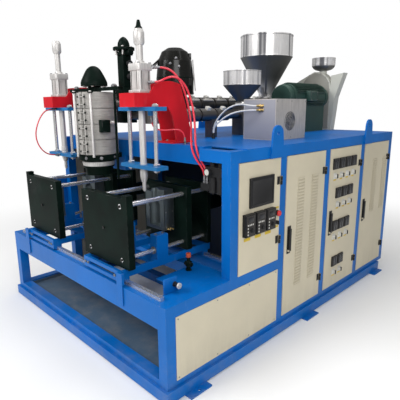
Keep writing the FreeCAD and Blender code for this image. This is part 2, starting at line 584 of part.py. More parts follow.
# instruments on the control door
control_y0, control_y1 = tray_doors[0][4], tray_doors[0][5]
control_wide = control_y1 - control_y0
screen_y = control_y0 + s.ScreenInset * control_wide
screen_y1 = screen_y + s.ScreenWidth * control_wide
drive_wide = s.DriveWidth * control_wide
screen = slab("Screen", door_x1, door_x1 + s.ScreenThick, screen_y, screen_y1, over_deck.ScreenBottom,
              over_deck.ScreenBottom + s.ScreenHeight)
rim = s.ScreenRim
screen_glass = slab("ScreenRecess", door_x1 + s.ScreenThick - s.ScreenRecess, door_x1 + s.ScreenThick,
                    screen_y + rim, screen_y1 - rim, over_deck.ScreenBottom + rim,
                    over_deck.ScreenBottom + s.ScreenHeight - rim)
drives = []
for i in range(3):
    y = control_y0 + (s.DriveInset + i * s.DrivePitch) * control_wide
    drives.append(slab(f"Drive{i}", door_x1, door_x1 + s.DriveThick, y, y + drive_wide, over_deck.DriveBottom,
                       over_deck.DriveBottom + s.DriveHeight))
stop_y = control_y1 - s.StopInset
collar = cut("StopCollar", rod("CollarOuter", "x", door_x1, stop_y, over_deck.StopHeight, s.StopRadius, s.CollarThick),
             rod("CollarBore", "x", door_x1, stop_y, over_deck.StopHeight, s.StopStem + s.SlideFit, s.CollarThick))
selector = fuse("Selector", rod("SelectorBase", "x", door_x1, stop_y, over_deck.SelectorHeight, s.SwitchRadius, s.CollarThick),
                slab("SelectorLever", door_x1, door_x1 + 2 * s.CollarThick, stop_y - s.HandleWall,
                     stop_y + s.HandleWall, over_deck.SelectorHeight - s.SwitchRadius, over_deck.SelectorHeight + s.SwitchRadius))
node("panel_instruments", group("PanelInstruments", cut("ScreenFrame", screen, screen_glass), *drives, collar,
                                selector))
stem_x = door_x1 + s.StopTravel + s.SlideGap
head_x = door_x1 + s.CollarThick + s.StopTravel + s.SlideGap
node("estop_button", fuse("StopButton",
                          rod("StopStemRod", "x", stem_x, stop_y, over_deck.StopHeight, s.StopStem, head_x - stem_x),
                          rod("StopHead", "x", head_x, stop_y, over_deck.StopHeight, s.StopRadius, s.CollarThick / 2),
                          cone("StopCrown", "x", head_x + s.CollarThick / 2, stop_y, over_deck.StopHeight, s.StopRadius,
                               s.StopRadius * 0.8, s.CollarThick / 2)))

# heater controllers and their rotary switches on the controller door
controllers = []
rows = ((4, s.RowOne * s.DeckHeight, s.InsetOne), (3, s.RowTwo * s.DeckHeight, s.InsetTwo), (3, s.RowThree * s.DeckHeight, s.InsetThree),
        (2, s.RowFour * s.DeckHeight, s.InsetFour))
controller_wide = tray_doors[2][5] - tray_doors[2][4]
controller = s.ControllerSize * controller_wide
for r, (count, z, inset) in enumerate(rows):
    for c in range(count):
        y = tray_doors[2][4] + (inset + c * s.ControllerPitch) * controller_wide
        controllers += [slab(f"Controller{r}{c}", door_x1, door_x1 + s.ControllerThick, y, y + controller,
                             z, z + controller),
                        rod(f"Rotary{r}{c}", "x", door_x1, y + controller / 2, z - s.SwitchDrop,
                            s.SwitchRadius, 2 * s.ControllerThick)]
node("temperature_controllers", group("TemperatureControllers", *controllers))

# ---------------------------------------------------------------- shuttle rails on the bed
def rail(name, y):
    body = new_body(name)
    sketch = new_sketch(body, "YZ_Plane", f"{name}Section", s.SlideEnd - inner)
    half, waist, tall = s.SlideWidth / 2, s.SlideWidth * 0.28, s.SlideHeight
    outline(sketch, [(-half, 0), (half, 0), (half, tall * 0.3), (waist, tall * 0.45), (waist, tall * 0.6),
                     (half, tall * 0.7), (half, tall), (-half, tall), (-half, tall * 0.7), (-waist, tall * 0.6),
                     (-waist, tall * 0.45), (-half, tall * 0.3)])
    feature(body, "Pad", f"{name}Bar", sketch, 2 * (inner - s.SlideEnd))
    return put(body, 0, y, s.BedHeight)


rail_ys = [front + s.FrontSlideAt, front + s.ShuttleBeamAt + s.ShuttleBeamDepth / 2]
node("linear_rails", group("LinearRails", *[rail(f"Rail{i}", y) for i, y in enumerate(rail_ys)]))

buffer_x = side - s.BedMargin - s.PostSize - s.GuardThick
buffer_plate = slab("BufferPlate", buffer_x, buffer_x + s.GuardThick * 2, front + s.BufferAt,
                    front + s.BufferAt + s.BufferDepth, s.BedHeight, s.BedHeight + s.BufferHeight)
buffer_high = s.BedHeight + s.BufferHeight / 2
buffer = fuse("Buffer", buffer_plate,
              rod("BufferTube", "x", buffer_x - s.BufferBack, front + s.BufferAt + s.BufferDepth * 0.8, buffer_high,
                  s.BufferRadius, s.BufferLength),
              rod("BufferHead", "x", buffer_x - s.BufferBack + s.BufferLength, front + s.BufferAt + s.BufferDepth * 0.8,
                  buffer_high, s.BufferRadius * 1.3, s.GuardThick))
valve_x, valve_y = side - s.ValveInset, cabinet - s.ValveBack
valve = fuse("Valve", rod("ValveStem", "z", valve_x, valve_y, s.BedHeight, s.ValveRadius * 0.6, s.ValveHeight),
             rod("ValveBody", "x", valve_x - s.ValveRadius * 1.6, valve_y, s.BedHeight + s.ValveHeight / 2,
                 s.ValveRadius, s.ValveRadius * 3.2),
             rod("ValveCap", "z", valve_x, valve_y, s.BedHeight + s.ValveHeight, s.ValveRadius * 0.8,
                 s.ValveRadius * 1.4))
node("bed_fittings", group("BedFittings", buffer, valve))

# compressed-air service unit on the cabinet's front post: regulator, two bowls and a gauge
air_x, air_y = inner, cabinet + s.PostSize / 2
air = [slab("AirHead", air_x - s.AirWidth, air_x, air_y - s.AirDepth / 2, air_y + s.AirDepth / 2, over_deck.AirLow + s.AirBowl,
            over_deck.AirLow + s.AirBowl + s.AirHead)]
for i in range(2):
    bowl_x = air_x - s.AirWidth * (0.27 + 0.46 * i)
    air += [rod(f"AirBowl{i}", "z", bowl_x, air_y, over_deck.AirLow, s.AirRadius, s.AirBowl),
            rod(f"AirKnob{i}", "z", bowl_x, air_y, over_deck.AirLow + s.AirBowl + s.AirHead, s.AirRadius * 0.7, s.AirRadius)]
air.append(rod("AirGauge", "y", air_x - s.AirWidth * 0.73, air_y - s.AirDepth / 2 - s.AirRadius * 0.7,
               over_deck.AirLow + s.AirBowl + s.AirHead / 2, s.AirRadius * 0.8, s.AirRadius * 0.7))
manifold_top = over_deck.ManifoldLow + s.ManifoldHeight
air.append(slab("Manifold", air_x - s.AirWidth - s.PortBlock - s.PortInset + s.PortWall, air_x - s.AirWidth + s.PortPitch,
                air_y - s.ManifoldDepth / 2, air_y + s.ManifoldDepth / 2, over_deck.ManifoldLow, manifold_top))
manifold_ports = [air_x - s.AirWidth - s.PortBlock + s.PortWall + i * s.PortPitch for i in range(2)]
port_top = manifold_top + s.PortInset + 3
air += [rod(f"ManifoldPort{i}", "z", x, air_y, manifold_top, s.HoseRadius + s.PortWall, s.PortInset + 3)
        for i, x in enumerate(manifold_ports)]
cage_gland_y = (beam_y0 + beam_y1) / 2
node("air_unit", group("AirUnit", fuse("AirUnitBody", *air),
                       rod("CageGland", "z", s.CageGlandX, cage_gland_y, beam_top, s.ThinHoseRadius + s.PortWall + 1,
                           s.GlandHeight)))


# ---------------------------------------------------------------- clamp stations
def at(name, cx, x0, x1, y0, y1, z0, z1):
    """A box placed from a station's centre line."""
    return slab(name, cx + x0, cx + x1, y0, y1, z0, z1)


platen_top = over_bed.PlatenLow + s.PlatenHeight
fp0 = behind.PlatenFront
fp1 = fp0 + s.PlatenThick
rp0 = behind.RearPlatenAt
rp1 = rp0 + s.PlatenThick
ep0 = behind.EndPlateAt
ep1 = ep0 + s.EndPlateThick
deck_z = s.BedHeight + s.SlideHeight + s.CarriageLow
carriage_top = deck_z + s.CarriageRail


def mould(name, cx, face, way, with_neck):
    """One mould half: a block with half of the bottle and its neck turned out of the parting face."""
    body = new_body(name)
    half = s.MouldWidth / 2
    block = new_sketch(body, "XY_Plane", f"{name}Plan", over_bed.MouldLow)
    back = way * s.MouldThick
    outline(block, [(-half, 0), (half, 0), (half, back), (-half, back)])
    feature(body, "Pad", f"{name}Block", block, s.MouldHeight)
    top = over_bed.MouldLow + s.MouldHeight
    if with_neck:
        plan = new_sketch(body, "XY_Plane", f"{name}NeckPlan", top)
        near, far = way * s.NeckSetback, way * (s.MouldThick - s.NeckSetback)
        outline(plan, [(-s.NeckLeft, near), (half, near), (half, far), (-s.NeckLeft, far)])
        feature(body, "Pad", f"{name}NeckPlate", plan, s.NeckHeight)
        top = top + s.NeckHeight
    section = new_sketch(body, "XZ_Plane", f"{name}Bottle")
    low = over_bed.MouldLow + s.CavityLow
    shoulder = over_bed.MouldLow + s.CavityTop
    outline(section, [(0, low), (s.CavityRadius, low), (s.CavityRadius, shoulder),
                      (s.NeckRadius, shoulder + s.CavityRadius - s.NeckRadius), (s.NeckRadius, top + 1), (0, top + 1)])
    groove = body.newObject("PartDesign::Groove", f"{name}Cavity")
    groove.Profile = section
    groove.ReferenceAxis = (section, ["V_Axis"])
    groove.Angle = 360
    return put(body, cx, face, 0)


def station(tag, cx, outward):
    """A shuttle carriage with its two platens, rods, clamp cylinder and mould; outward is the side away from the die."""
    half = s.CarriageWidth / 2
    wall = s.CarriageWall
    y0, y1 = front + s.CarriageFront, behind.CarriageRear
    fy1 = y0 + s.CarriageFace
    parts = [cut(f"{tag}FrontPlate",
                 at(f"{tag}FrontBlank", cx, -half, half, y0, fy1, deck_z - s.CarriageDrop, carriage_top),
                 at(f"{tag}FrontSlot", cx, -half * 0.7, half * 0.7, y0, fy1, deck_z, deck_z + s.CarriageDrop)),
             at(f"{tag}RearCross", cx, -half, half, y1 - wall, y1, deck_z, carriage_top),
             at(f"{tag}Floor", cx, -half, half, behind.BearingAt, behind.BearingAt + s.BearingDepth, deck_z,
                deck_z + s.CarriageFloor)]
    tools = []
    for j, sign in enumerate((-1, 1)):
        outer, inside = sign * half, sign * (half - wall)
        low, high = (outer, inside) if sign < 0 else (inside, outer)
        parts.append(at(f"{tag}SidePlate{j}", cx, low, high, fy1, y1, deck_z, carriage_top))
        inside = sign * (half - s.BearingWidth)
        low, high = (outer, inside) if sign < 0 else (inside, outer)
        parts.append(at(f"{tag}Bearing{j}", cx, low, high, behind.BearingAt, behind.BearingAt + s.BearingDepth,
                        deck_z, over_bed.BearingTop))
        tools.append(rod(f"{tag}BearingBore{j}", "y", cx + sign * s.GuideSpread, behind.BearingAt, over_bed.GuideHigh,
                         s.GuideRadius + s.SlideFit, s.BearingDepth))
        for k, rail_y in enumerate(rail_ys):
            parts.append(at(f"{tag}Runner{j}{k}", cx, low, high, rail_y - s.RunnerWidth / 2, rail_y + s.RunnerWidth / 2,
                            s.BedHeight + s.RunnerLift, deck_z))
    for k, rail_y in enumerate(rail_ys):
        tools.append(at(f"{tag}RailSlot{k}", cx, -half - 1, half + 1, rail_y - s.SlideWidth / 2 - s.SlideGap,
                        rail_y + s.SlideWidth / 2 + s.SlideGap, s.BedHeight, s.BedHeight + s.SlideHeight + s.SlideGap))
    low = half - wall if outward > 0 else -half - s.StripOut
    high = half + s.StripOut if outward > 0 else wall - half
    parts += [at(f"{tag}StripTab", cx, low, high, front - s.StripGap - s.GuardThick, y0, deck_z - s.CarriageDrop, carriage_top),
              at(f"{tag}Strip", cx, low, high, front - s.StripGap - s.GuardThick, front - s.StripGap, over_bed.StripLow,
                 deck_z - s.CarriageDrop)]
    node(f"carriage_{tag}", cut(f"{tag}Carriage", fuse(f"{tag}CarriageWelded", *parts), *tools))

    width, narrow = s.PlatenWidth / 2, s.RearWidth / 2

    def bores(name, y, depth):
        return [rod(f"{tag}{name}{j}{k}", "y", cx + sign * spread, y, high, radius + s.SlideFit, depth)
                for k, sign in enumerate((-1, 1))
                for j, (spread, high, radius) in enumerate(((s.BarSpread, over_bed.BarHigh, s.BarRadius),
                                                            (s.GuideSpread, over_bed.GuideHigh, s.GuideRadius)))]

    ear_low = width - s.EarWidth if outward > 0 else -width
    plate = fuse(f"{tag}FrontPlaten", at(f"{tag}FrontPlatenPlate", cx, -width, width, fp0, fp1, over_bed.PlatenLow, platen_top),
                 at(f"{tag}PlatenEar", cx, ear_low, ear_low + s.EarWidth, fp0, fp1, platen_top, platen_top + s.EarHeight))
    node(f"front_platen_{tag}", cut(f"{tag}FrontPlatenBored", plate, *bores("FrontHole", fp0, s.PlatenThick)))
    bars = [rod(f"{tag}Rod{j}{k}", "y", cx + sign * spread, fp0, high, radius, ep1 - fp0)
            for k, sign in enumerate((-1, 1))
            for j, (spread, high, radius) in enumerate(((s.BarSpread, over_bed.BarHigh, s.BarRadius),
                                                        (s.GuideSpread, over_bed.GuideHigh, s.GuideRadius)))]
    node(f"tie_bars_{tag}", group(f"{tag}TieBars", *bars))

    barrel = rod(f"{tag}Barrel", "y", cx, ep1, over_bed.RamHigh, s.CylinderRadius, s.CylinderLength)
    end = cut(f"{tag}EndPlate",
              fuse(f"{tag}EndSolid", at(f"{tag}EndSlab", cx, -narrow, narrow, ep0, ep1, over_bed.PlatenLow, platen_top), barrel),
              rod(f"{tag}BarrelBore", "y", cx, ep1 + s.CylinderEnd, over_bed.RamHigh, s.CylinderBore,
                  s.CylinderLength - 2 * s.CylinderEnd),
              rod(f"{tag}RamBore", "y", cx, ep0, over_bed.RamHigh, s.RamRadius + s.SlideFit,
                  s.EndPlateThick + s.CylinderEnd), *bores("EndHole", ep0, s.EndPlateThick))
    node(f"end_plate_{tag}", end)

    rear_plate = cut(f"{tag}RearPlatenBored",
                     at(f"{tag}RearPlaten", cx, -narrow, narrow, rp0, rp1, over_bed.PlatenLow, platen_top),
                     *bores("RearHole", rp0, s.PlatenThick))
    piston_y = ep1 + s.CylinderLength - s.CylinderEnd - s.PistonGap - s.PistonThick
    node(f"rear_platen_{tag}", fuse(
        f"{tag}RearPlatenRam", rear_plate,
        rod(f"{tag}Ram", "y", cx, rp1, over_bed.RamHigh, s.RamRadius, piston_y - rp1),
        rod(f"{tag}Piston", "y", cx, piston_y, over_bed.RamHigh, s.CylinderBore - s.SlideFit, s.PistonThick)))
    node(f"front_mould_{tag}", mould(f"{tag}FrontMould", cx, fp1 + s.MouldThick, -1, False))
    node(f"rear_mould_{tag}", mould(f"{tag}RearMould", cx, rp0 - s.MouldThick, 1, True))


right_x = s.DieX + s.PinReach
left_pin_x = s.DieX - s.LeftReach
left_x = left_pin_x + s.LeftShift
station("right", right_x, 1)
station("left", left_x, -1)


# ---------------------------------------------------------------- blow units
arm_top = over_deck.ArmFrontTop


def swan_arm(tag, px):
    """A red gooseneck: two profiled side plates joined by front, top, under and foot plates."""
    half = s.ArmHalf
    plates = []
    front_y = behind.ClampY - s.ArmFront
    for j, x in enumerate((px - half, px + half - s.ArmWall)):
        body = new_body(f"{tag}Swan{j}")
        sketch = new_sketch(body, "YZ_Plane", f"{tag}SwanFace{j}")
        outline(sketch, [(front_y, over_deck.ArmLow), (behind.ArmNeckY, over_deck.ArmLow, s.ArmNeckBend), (behind.ArmHeelY, over_deck.ArmHeelZ),
                         (behind.ArmFootY, over_deck.ArmSeat), (behind.ArmBackY, over_deck.ArmSeat), (behind.ArmBackY, over_deck.ArmSeat + s.ArmFootRise),
                         (behind.ArmWaistY, over_deck.ArmWaistZ), (behind.ArmCrownY, over_deck.ArmCrownZ, -s.ArmCrownBend),
                         (behind.ArmBrowY, over_deck.ArmBrowZ), (behind.ArmLipY, arm_top), (front_y, arm_top)])
        feature(body, "Pad", f"{tag}SwanPlate{j}", sketch, s.ArmWall)
        plates.append(put(body, x, 0, 0))
    inside = half - s.ArmWall
    t = s.ArmWall
    bore = s.SpindleRadius + s.SlideFit
    under = cut(f"{tag}ArmUnder", slab(f"{tag}ArmUnderBlank", px - inside, px + inside, front_y + t, behind.ArmNeckY,
                                       over_deck.ArmLow, over_deck.ArmLow + t),
                rod(f"{tag}ArmUnderBore", "z", px, behind.ClampY, over_deck.ArmLow, bore, t))
    lid = cut(f"{tag}ArmTop", slab(f"{tag}ArmTopBlank", px - inside, px + inside, front_y + t,
                                   behind.ClampY + s.TubeRadius, arm_top - t, arm_top),
              rod(f"{tag}ArmTopBore", "z", px, behind.ClampY, arm_top - t, bore, t))
    return plates + [under, lid, slab(f"{tag}ArmFront", px - inside, px + inside, front_y, front_y + t,
                                      over_deck.ArmLow, arm_top),
                     slab(f"{tag}ArmFoot", px - half - t, px + half + t, beam_y0, behind.ArmBackY, beam_top,
                          over_deck.ArmSeat)]


def heading(degrees):
    """A level direction, in degrees from +X."""
    return Vector(math.cos(math.radians(degrees)), math.sin(math.radians(degrees)), 0)


AIR_PORTS = ((50, s.CapRadius, over_deck.TubeTop + s.CapHeight / 2), (15, s.TubeRadius, over_deck.ArmPort))


def blow_unit(tag, px, raised, tip):
    """Cage plates, guide rods, cylinder and the through spindle of one blow unit."""
    half, deep, thick = s.CageLength / 2, s.CageDepth / 2, s.CagePlate
    fit = s.SlideFit
    cages = []
    for j, (z, radius) in enumerate(((over_deck.CageLow, s.HolderRadius), (over_deck.ArmLow - thick, s.SpindleRadius))):
        plate = slab(f"{tag}Cage{j}", px - half, px + half, behind.ClampY - deep, behind.ClampY + deep, z, z + thick)
        holes = [rod(f"{tag}CageHole{j}{k}", "z", px + x, behind.ClampY, z, r + fit, thick)
                 for k, (x, r) in enumerate(((0, radius), (-s.RodSpread, s.RodRadius), (s.RodSpread, s.RodRadius)))]
        cages.append(cut(f"{tag}CageBored{j}", plate, *holes))
    rods = [rod(f"{tag}CageRod{k}", "z", px + x, behind.ClampY, over_deck.CageLow - s.RodTail, s.RodRadius,
                over_deck.ArmLow - over_deck.CageLow + 2 * s.RodTail) for k, x in enumerate((-s.RodSpread, s.RodSpread))]
    tube_high = over_deck.TubeTop - arm_top
    ports = []
    if tip:
        for k, (turn, reach, z) in enumerate(AIR_PORTS):
            base = reach - s.PortSink
            ports.append(spout(f"{tag}Port{k}", px + base * heading(turn).x, behind.ClampY + base * heading(turn).y, z,
                               turn, s.HoseRadius + s.PortWall, s.PortSink + s.PortOut))
    tube = cut(f"{tag}Cylinder",
               fuse(f"{tag}CylinderSolid", rod(f"{tag}Tube", "z", px, behind.ClampY, arm_top, s.TubeRadius, tube_high),
                    rod(f"{tag}Cap", "z", px, behind.ClampY, over_deck.TubeTop, s.CapRadius, s.CapHeight), *ports),
               rod(f"{tag}Chamber", "z", px, behind.ClampY, arm_top + s.TubeFloor, s.TubeBore, tube_high - s.TubeFloor),
               rod(f"{tag}ThroughBore", "z", px, behind.ClampY, arm_top, s.SpindleRadius + fit, tube_high + s.CapHeight))
    low = over_deck.HolderLow + raised
    middle = (arm_top + s.TubeFloor + over_deck.TubeTop - s.PistonHeight) / 2
    parts = [rod(f"{tag}Pin", "z", px, behind.ClampY, over_deck.PinLow + raised, s.PinRadius, low - over_deck.PinLow - raised),
             cone(f"{tag}HolderTaper", "z", px, behind.ClampY, low, s.PinRadius * 1.3, s.HolderRadius, s.HolderTaper),
             rod(f"{tag}Holder", "z", px, behind.ClampY, low + s.HolderTaper, s.HolderRadius, s.HolderHeight - s.HolderTaper),
             rod(f"{tag}Spindle", "z", px, behind.ClampY, low + s.HolderHeight, s.SpindleRadius,
                 over_deck.SpindleTop - over_deck.HolderLow - s.HolderHeight),
             rod(f"{tag}Piston", "z", px, behind.ClampY, middle, s.TubeBore - fit, s.PistonHeight),
             rod(f"{tag}Sleeve", "z", px, behind.ClampY, over_deck.SpindleTop + raised, s.SleeveRadius, s.SleeveHeight)]
    if tip:
        parts.append(cone(f"{tag}Tip", "z", px, behind.ClampY, over_deck.SpindleTop + s.SleeveHeight + raised, s.SleeveRadius * 0.7,
                          s.PinRadius * 0.6, s.TipHeight))
    return cages, rods, tube, fuse(f"{tag}BlowPin", *parts)


arms, cages, rods, tubes = [], [], [], []
for tag, px, raised, tip in (("BlowRight", right_x, s.RightRaise, True), ("BlowLeft", left_pin_x, s.LeftRaise, False)):
    arms += swan_arm(tag, px)
    made_cages, made_rods, tube, pin = blow_unit(tag, px, raised, tip)
    cages += made_cages
    rods += made_rods
    tubes.append(tube)
    node("blow_pin_right" if tip else "blow_pin_left", pin)
node("swan_brackets", group("SwanBrackets", *arms))
thin_port = s.ThinHoseRadius + s.PortWall
plate_low = over_deck.ArmLow - s.CagePlate
block_low = plate_low - s.PortBlockHeight
block_y = behind.CagePortAt
block_x = right_x + s.CagePortX
cages.append(fuse("CagePortBlock",
                  slab("PortBlockBody", block_x - s.PortBlock / 2, block_x + s.PortBlock / 2, block_y - s.PortBlock * 0.375,
                       block_y + s.PortBlock * 0.375, block_low, plate_low),
                  rod("PortBlockStem", "z", block_x, block_y, block_low - s.PortStem, thin_port, s.PortStem)))
cage_front = behind.ClampY - s.CageDepth / 2
left_ports = [plate_low + s.CagePlate / 2, over_deck.CageLow + s.CagePlate / 2]
cages += [rod(f"LeftCagePort{i}", "y", left_pin_x, cage_front - s.GlandHeight, z, thin_port, s.GlandHeight)
          for i, z in enumerate(left_ports)]
node("cage_plates", group("CagePlates", *cages))
node("guide_rods", group("GuideRods", *rods))
node("blow_cylinders", group("BlowCylinders", *tubes))

# ---------------------------------------------------------------- die head, its flanges and the cap with its yoke
head_parts = [rod("HeadCore", "z", s.DieX, behind.ClampY, over_deck.HeadLow, s.HeadRadius, over_deck.HeadTop - over_deck.HeadLow)]
band_high = (over_deck.HeadTop - over_deck.HeadLow - 5 * s.BandGap) / 4
for i in range(4):
    head_parts.append(rod(f"HeadBand{i}", "z", s.DieX, behind.ClampY, over_deck.HeadLow + s.BandGap + i * (band_high + s.BandGap),
                          s.HeadRadius + s.BandThick, band_high))
node("die_head", fuse("DieHead", *head_parts))

ring_low = over_deck.HeadLow - s.RingHeight
flange_low = ring_low - s.FlangeHeight
ring_part = fuse("DieRing", rod("RingDisc", "z", s.DieX, behind.ClampY, ring_low, s.RingRadius, s.RingHeight),
                 slab("RingLug", s.DieX - s.HangHalf / 2, s.DieX + s.HangHalf / 2, behind.ClampY, beam_y0, ring_low, over_deck.HeadLow))
node("die_flange", group("DieFlange", ring_part,
                         rod("FlangeDisc", "z", s.DieX, behind.ClampY, flange_low, s.FlangeRadius, s.FlangeHeight),
                         cone("Bush", "z", s.DieX, behind.ClampY, flange_low - s.BushHeight, s.BushRadius,
                              s.BushRadius + s.BandThick / 2, s.BushHeight)))
dome = revolved("CapDome", [(0, 0), (s.CapNeck, 0), (s.CapNeck, s.CapRise), (s.CapDisc, s.CapRise),
                            (s.CapDisc, s.CapRise + s.CapDiscThick), (s.CapDisc * 0.82, s.CapRise + s.CapDiscThick * 3),
                            (s.CapTop * 1.2, s.CapRise + s.CapDiscThick + s.CapCone),
                            (s.CapTop, s.CapRise + 2 * s.CapDiscThick + s.CapCone),
                            (0, s.CapRise + 2 * s.CapDiscThick + s.CapCone)], s.DieX, behind.ClampY, over_deck.HeadTop)
yoke_low = over_deck.HeadTop + s.YokeRise
yoke = [slab("Yoke", s.DieX - s.YokeLength / 2, s.DieX + s.YokeLength / 2, behind.ClampY - s.YokeDepth / 2,
             behind.ClampY + s.YokeDepth / 2, yoke_low, yoke_low + s.YokeThick)]
for tag, sign, low in (("L", -1, over_deck.HangerLeftLow), ("R", 1, over_deck.HangerRightLow)):
    yoke.append(rod(f"Hanger{tag}", "z", s.DieX + sign * s.HangerSpread, behind.ClampY, low, s.HangerRadius,
                    yoke_low - low))
node("die_cap", fuse("DieCap", dome, *yoke))

# ---------------------------------------------------------------- main extruder
head_back = behind.ClampY + s.HeadRadius + s.BandThick + s.SlideGap
feed_y0 = behind.FeedAt - s.FeedSize / 2
feed_y1 = behind.FeedAt + s.FeedSize / 2
feed_top = over_deck.BarrelHigh + s.FeedRise
bands = [rod(f"BarrelBand{i}", "y", s.DieX, start, over_deck.BarrelHigh, s.BarrelBand, s.BandLength)
         for i, start in enumerate([behind.BandFront + i * (s.BandLength + s.BandSpace) for i in range(2)]
                                   + [behind.BandRear + i * (s.BandLength + s.BandSpace) for i in range(6)])]
barrel = fuse("MainBarrelSolid", rod("BarrelTube", "y", s.DieX, head_back, over_deck.BarrelHigh, s.BarrelRadius,
                                     feed_y0 - head_back), *bands,
              slab("FeedBlock", s.DieX - s.FeedSize / 2, s.DieX + s.FeedSize / 2, feed_y0, feed_y1,
                   over_deck.BarrelHigh - s.FeedSize / 2, feed_top),
              slab("FeedStand", s.DieX - s.FeedSize * 0.35, s.DieX + s.FeedSize * 0.35, feed_y0 + s.BandSpace,
                   feed_y1 - s.BandSpace, deck_top, over_deck.BarrelHigh - s.FeedSize / 2))
screw_y0 = head_back + s.BandLength
node("main_barrel", cut("MainBarrel", barrel, rod("BarrelBoring", "y", s.DieX, screw_y0 - s.BandSpace, over_deck.BarrelHigh,
                                                  s.ScrewBore, feed_y1 - screw_y0 + s.BandSpace),
                        rod("FeedThroat", "z", s.DieX, behind.FeedAt, over_deck.BarrelHigh, s.HopperThroat * 0.8, s.FeedRise)))
node("main_screw", fuse("MainScrew", rod("ScrewRoot", "y", s.DieX, screw_y0, over_deck.BarrelHigh, s.ScrewRadius * 0.75,
                                         feed_y1 - screw_y0),
                        *[rod(f"ScrewLand{i}", "y", s.DieX, screw_y0 + i * s.FeedSize, over_deck.BarrelHigh, s.ScrewRadius,
                              s.BandSpace) for i in range(9)]))


def shell(name, throat, neck, radius, tall, tube, x, y, z):
    """An open sheet hopper: neck, cone and straight rim, one wall thick."""
    w = s.HopperWall
    return revolved(name, [(throat, 0), (throat, neck), (radius, neck + tall), (radius, neck + tall + tube),
                           (radius - w, neck + tall + tube), (radius - w, neck + tall + w / 2),
                           (throat - w, neck + w / 2), (throat - w, 0)], x, y, z)


node("main_hopper", shell("MainHopper", s.HopperThroat, s.HopperNeck, s.HopperRadius, s.HopperCone, s.HopperTube,
                          s.DieX, behind.FeedAt, feed_top))
gear_y1 = feed_y1 + s.GearLength
node("main_gearbox", fuse("MainGearbox", slab("GearCase", s.DieX - s.GearWidth / 2, s.DieX + s.GearWidth / 2, feed_y1,
                                              gear_y1, deck_top + s.GearFoot, deck_top + s.GearHeight),
                          slab("GearFootPlate", s.DieX - s.GearWidth * 0.6, s.DieX + s.GearWidth * 0.6,
                               feed_y1 + s.GearFoot, gear_y1, deck_top, deck_top + s.GearFoot),
                          rod("GearShaft", "y", s.DieX, gear_y1, over_deck.BeltSmallHigh, s.BeltSmall / 3,
                              behind.BeltRear - s.BeltDepth - gear_y1)))

motor_y1 = behind.MotorAt + s.MotorLength
node("drive_motor", fuse("DriveMotor",
                         rod("MotorCase", "y", s.MotorX, behind.MotorAt + s.MotorBell, over_deck.MotorHigh, s.MotorRadius,
                             s.MotorLength - 2 * s.MotorBell),
                         rod("MotorEnds", "y", s.MotorX, behind.MotorAt, over_deck.MotorHigh, s.MotorRadius * 0.86, s.MotorLength),
                         slab("MotorFoot", s.MotorX - s.MotorRadius * 0.8, s.MotorX + s.MotorRadius * 0.8,
                              behind.MotorAt + s.MotorBell, motor_y1 - s.MotorBell, deck_top, over_deck.MotorHigh - s.MotorRadius * 0.5),
                         rod("MotorShaft", "y", s.MotorX, motor_y1, over_deck.MotorHigh, s.BeltSmall / 4,
                             behind.BeltRear - s.BeltDepth - motor_y1)))

# the belt guard: a deep sheet cover over a small and a large pulley, with a flared duct beside it
guard = new_body("BeltGuard")
guard_face = new_sketch(guard, "XZ_Plane", "BeltGuardFace")
belt_right = s.BeltX + s.BeltRadius
small_left = s.DieX - s.BeltSmall
outline(guard_face, [(small_left, deck_top), (belt_right, deck_top), (belt_right, over_deck.BeltHigh, -s.BeltRadius),
                     (s.BeltX - s.BeltRadius * 0.1736, over_deck.BeltHigh + s.BeltRadius * 0.9848),
                     (s.DieX - s.BeltSmall * 0.1736, over_deck.BeltSmallHigh + s.BeltSmall * 0.9848, -s.BeltSmall),
                     (small_left, over_deck.BeltSmallHigh)])
feature(guard, "Pad", "BeltGuardPad", guard_face, s.BeltDepth)
put(guard, 0, behind.BeltRear, 0)
duct = new_body("GuardDuct")
duct_face = new_sketch(duct, "XZ_Plane", "GuardDuctFace")
outline(duct_face, [(belt_right, deck_top), (belt_right + s.DuctLow, deck_top), (belt_right + s.DuctMid, over_deck.MotorHigh),
                    (belt_right + s.DuctTop, over_deck.DuctHigh), (belt_right, over_deck.DuctHigh - s.DuctLow)])
feature(duct, "Pad", "GuardDuctPad", duct_face, s.BeltDepth)
put(duct, 0, behind.BeltRear, 0)
bowl_low = over_deck.BeltHigh + s.BeltRadius + s.BandSpace / 2
bowl_y = behind.BeltRear - s.BeltDepth / 2
node("belt_guard", fuse("BeltGuardDuct", guard, duct,
                        rod("BowlSpigot", "z", s.BowlX, bowl_y, over_deck.BeltHigh, s.BowlNeck, bowl_low - over_deck.BeltHigh)))

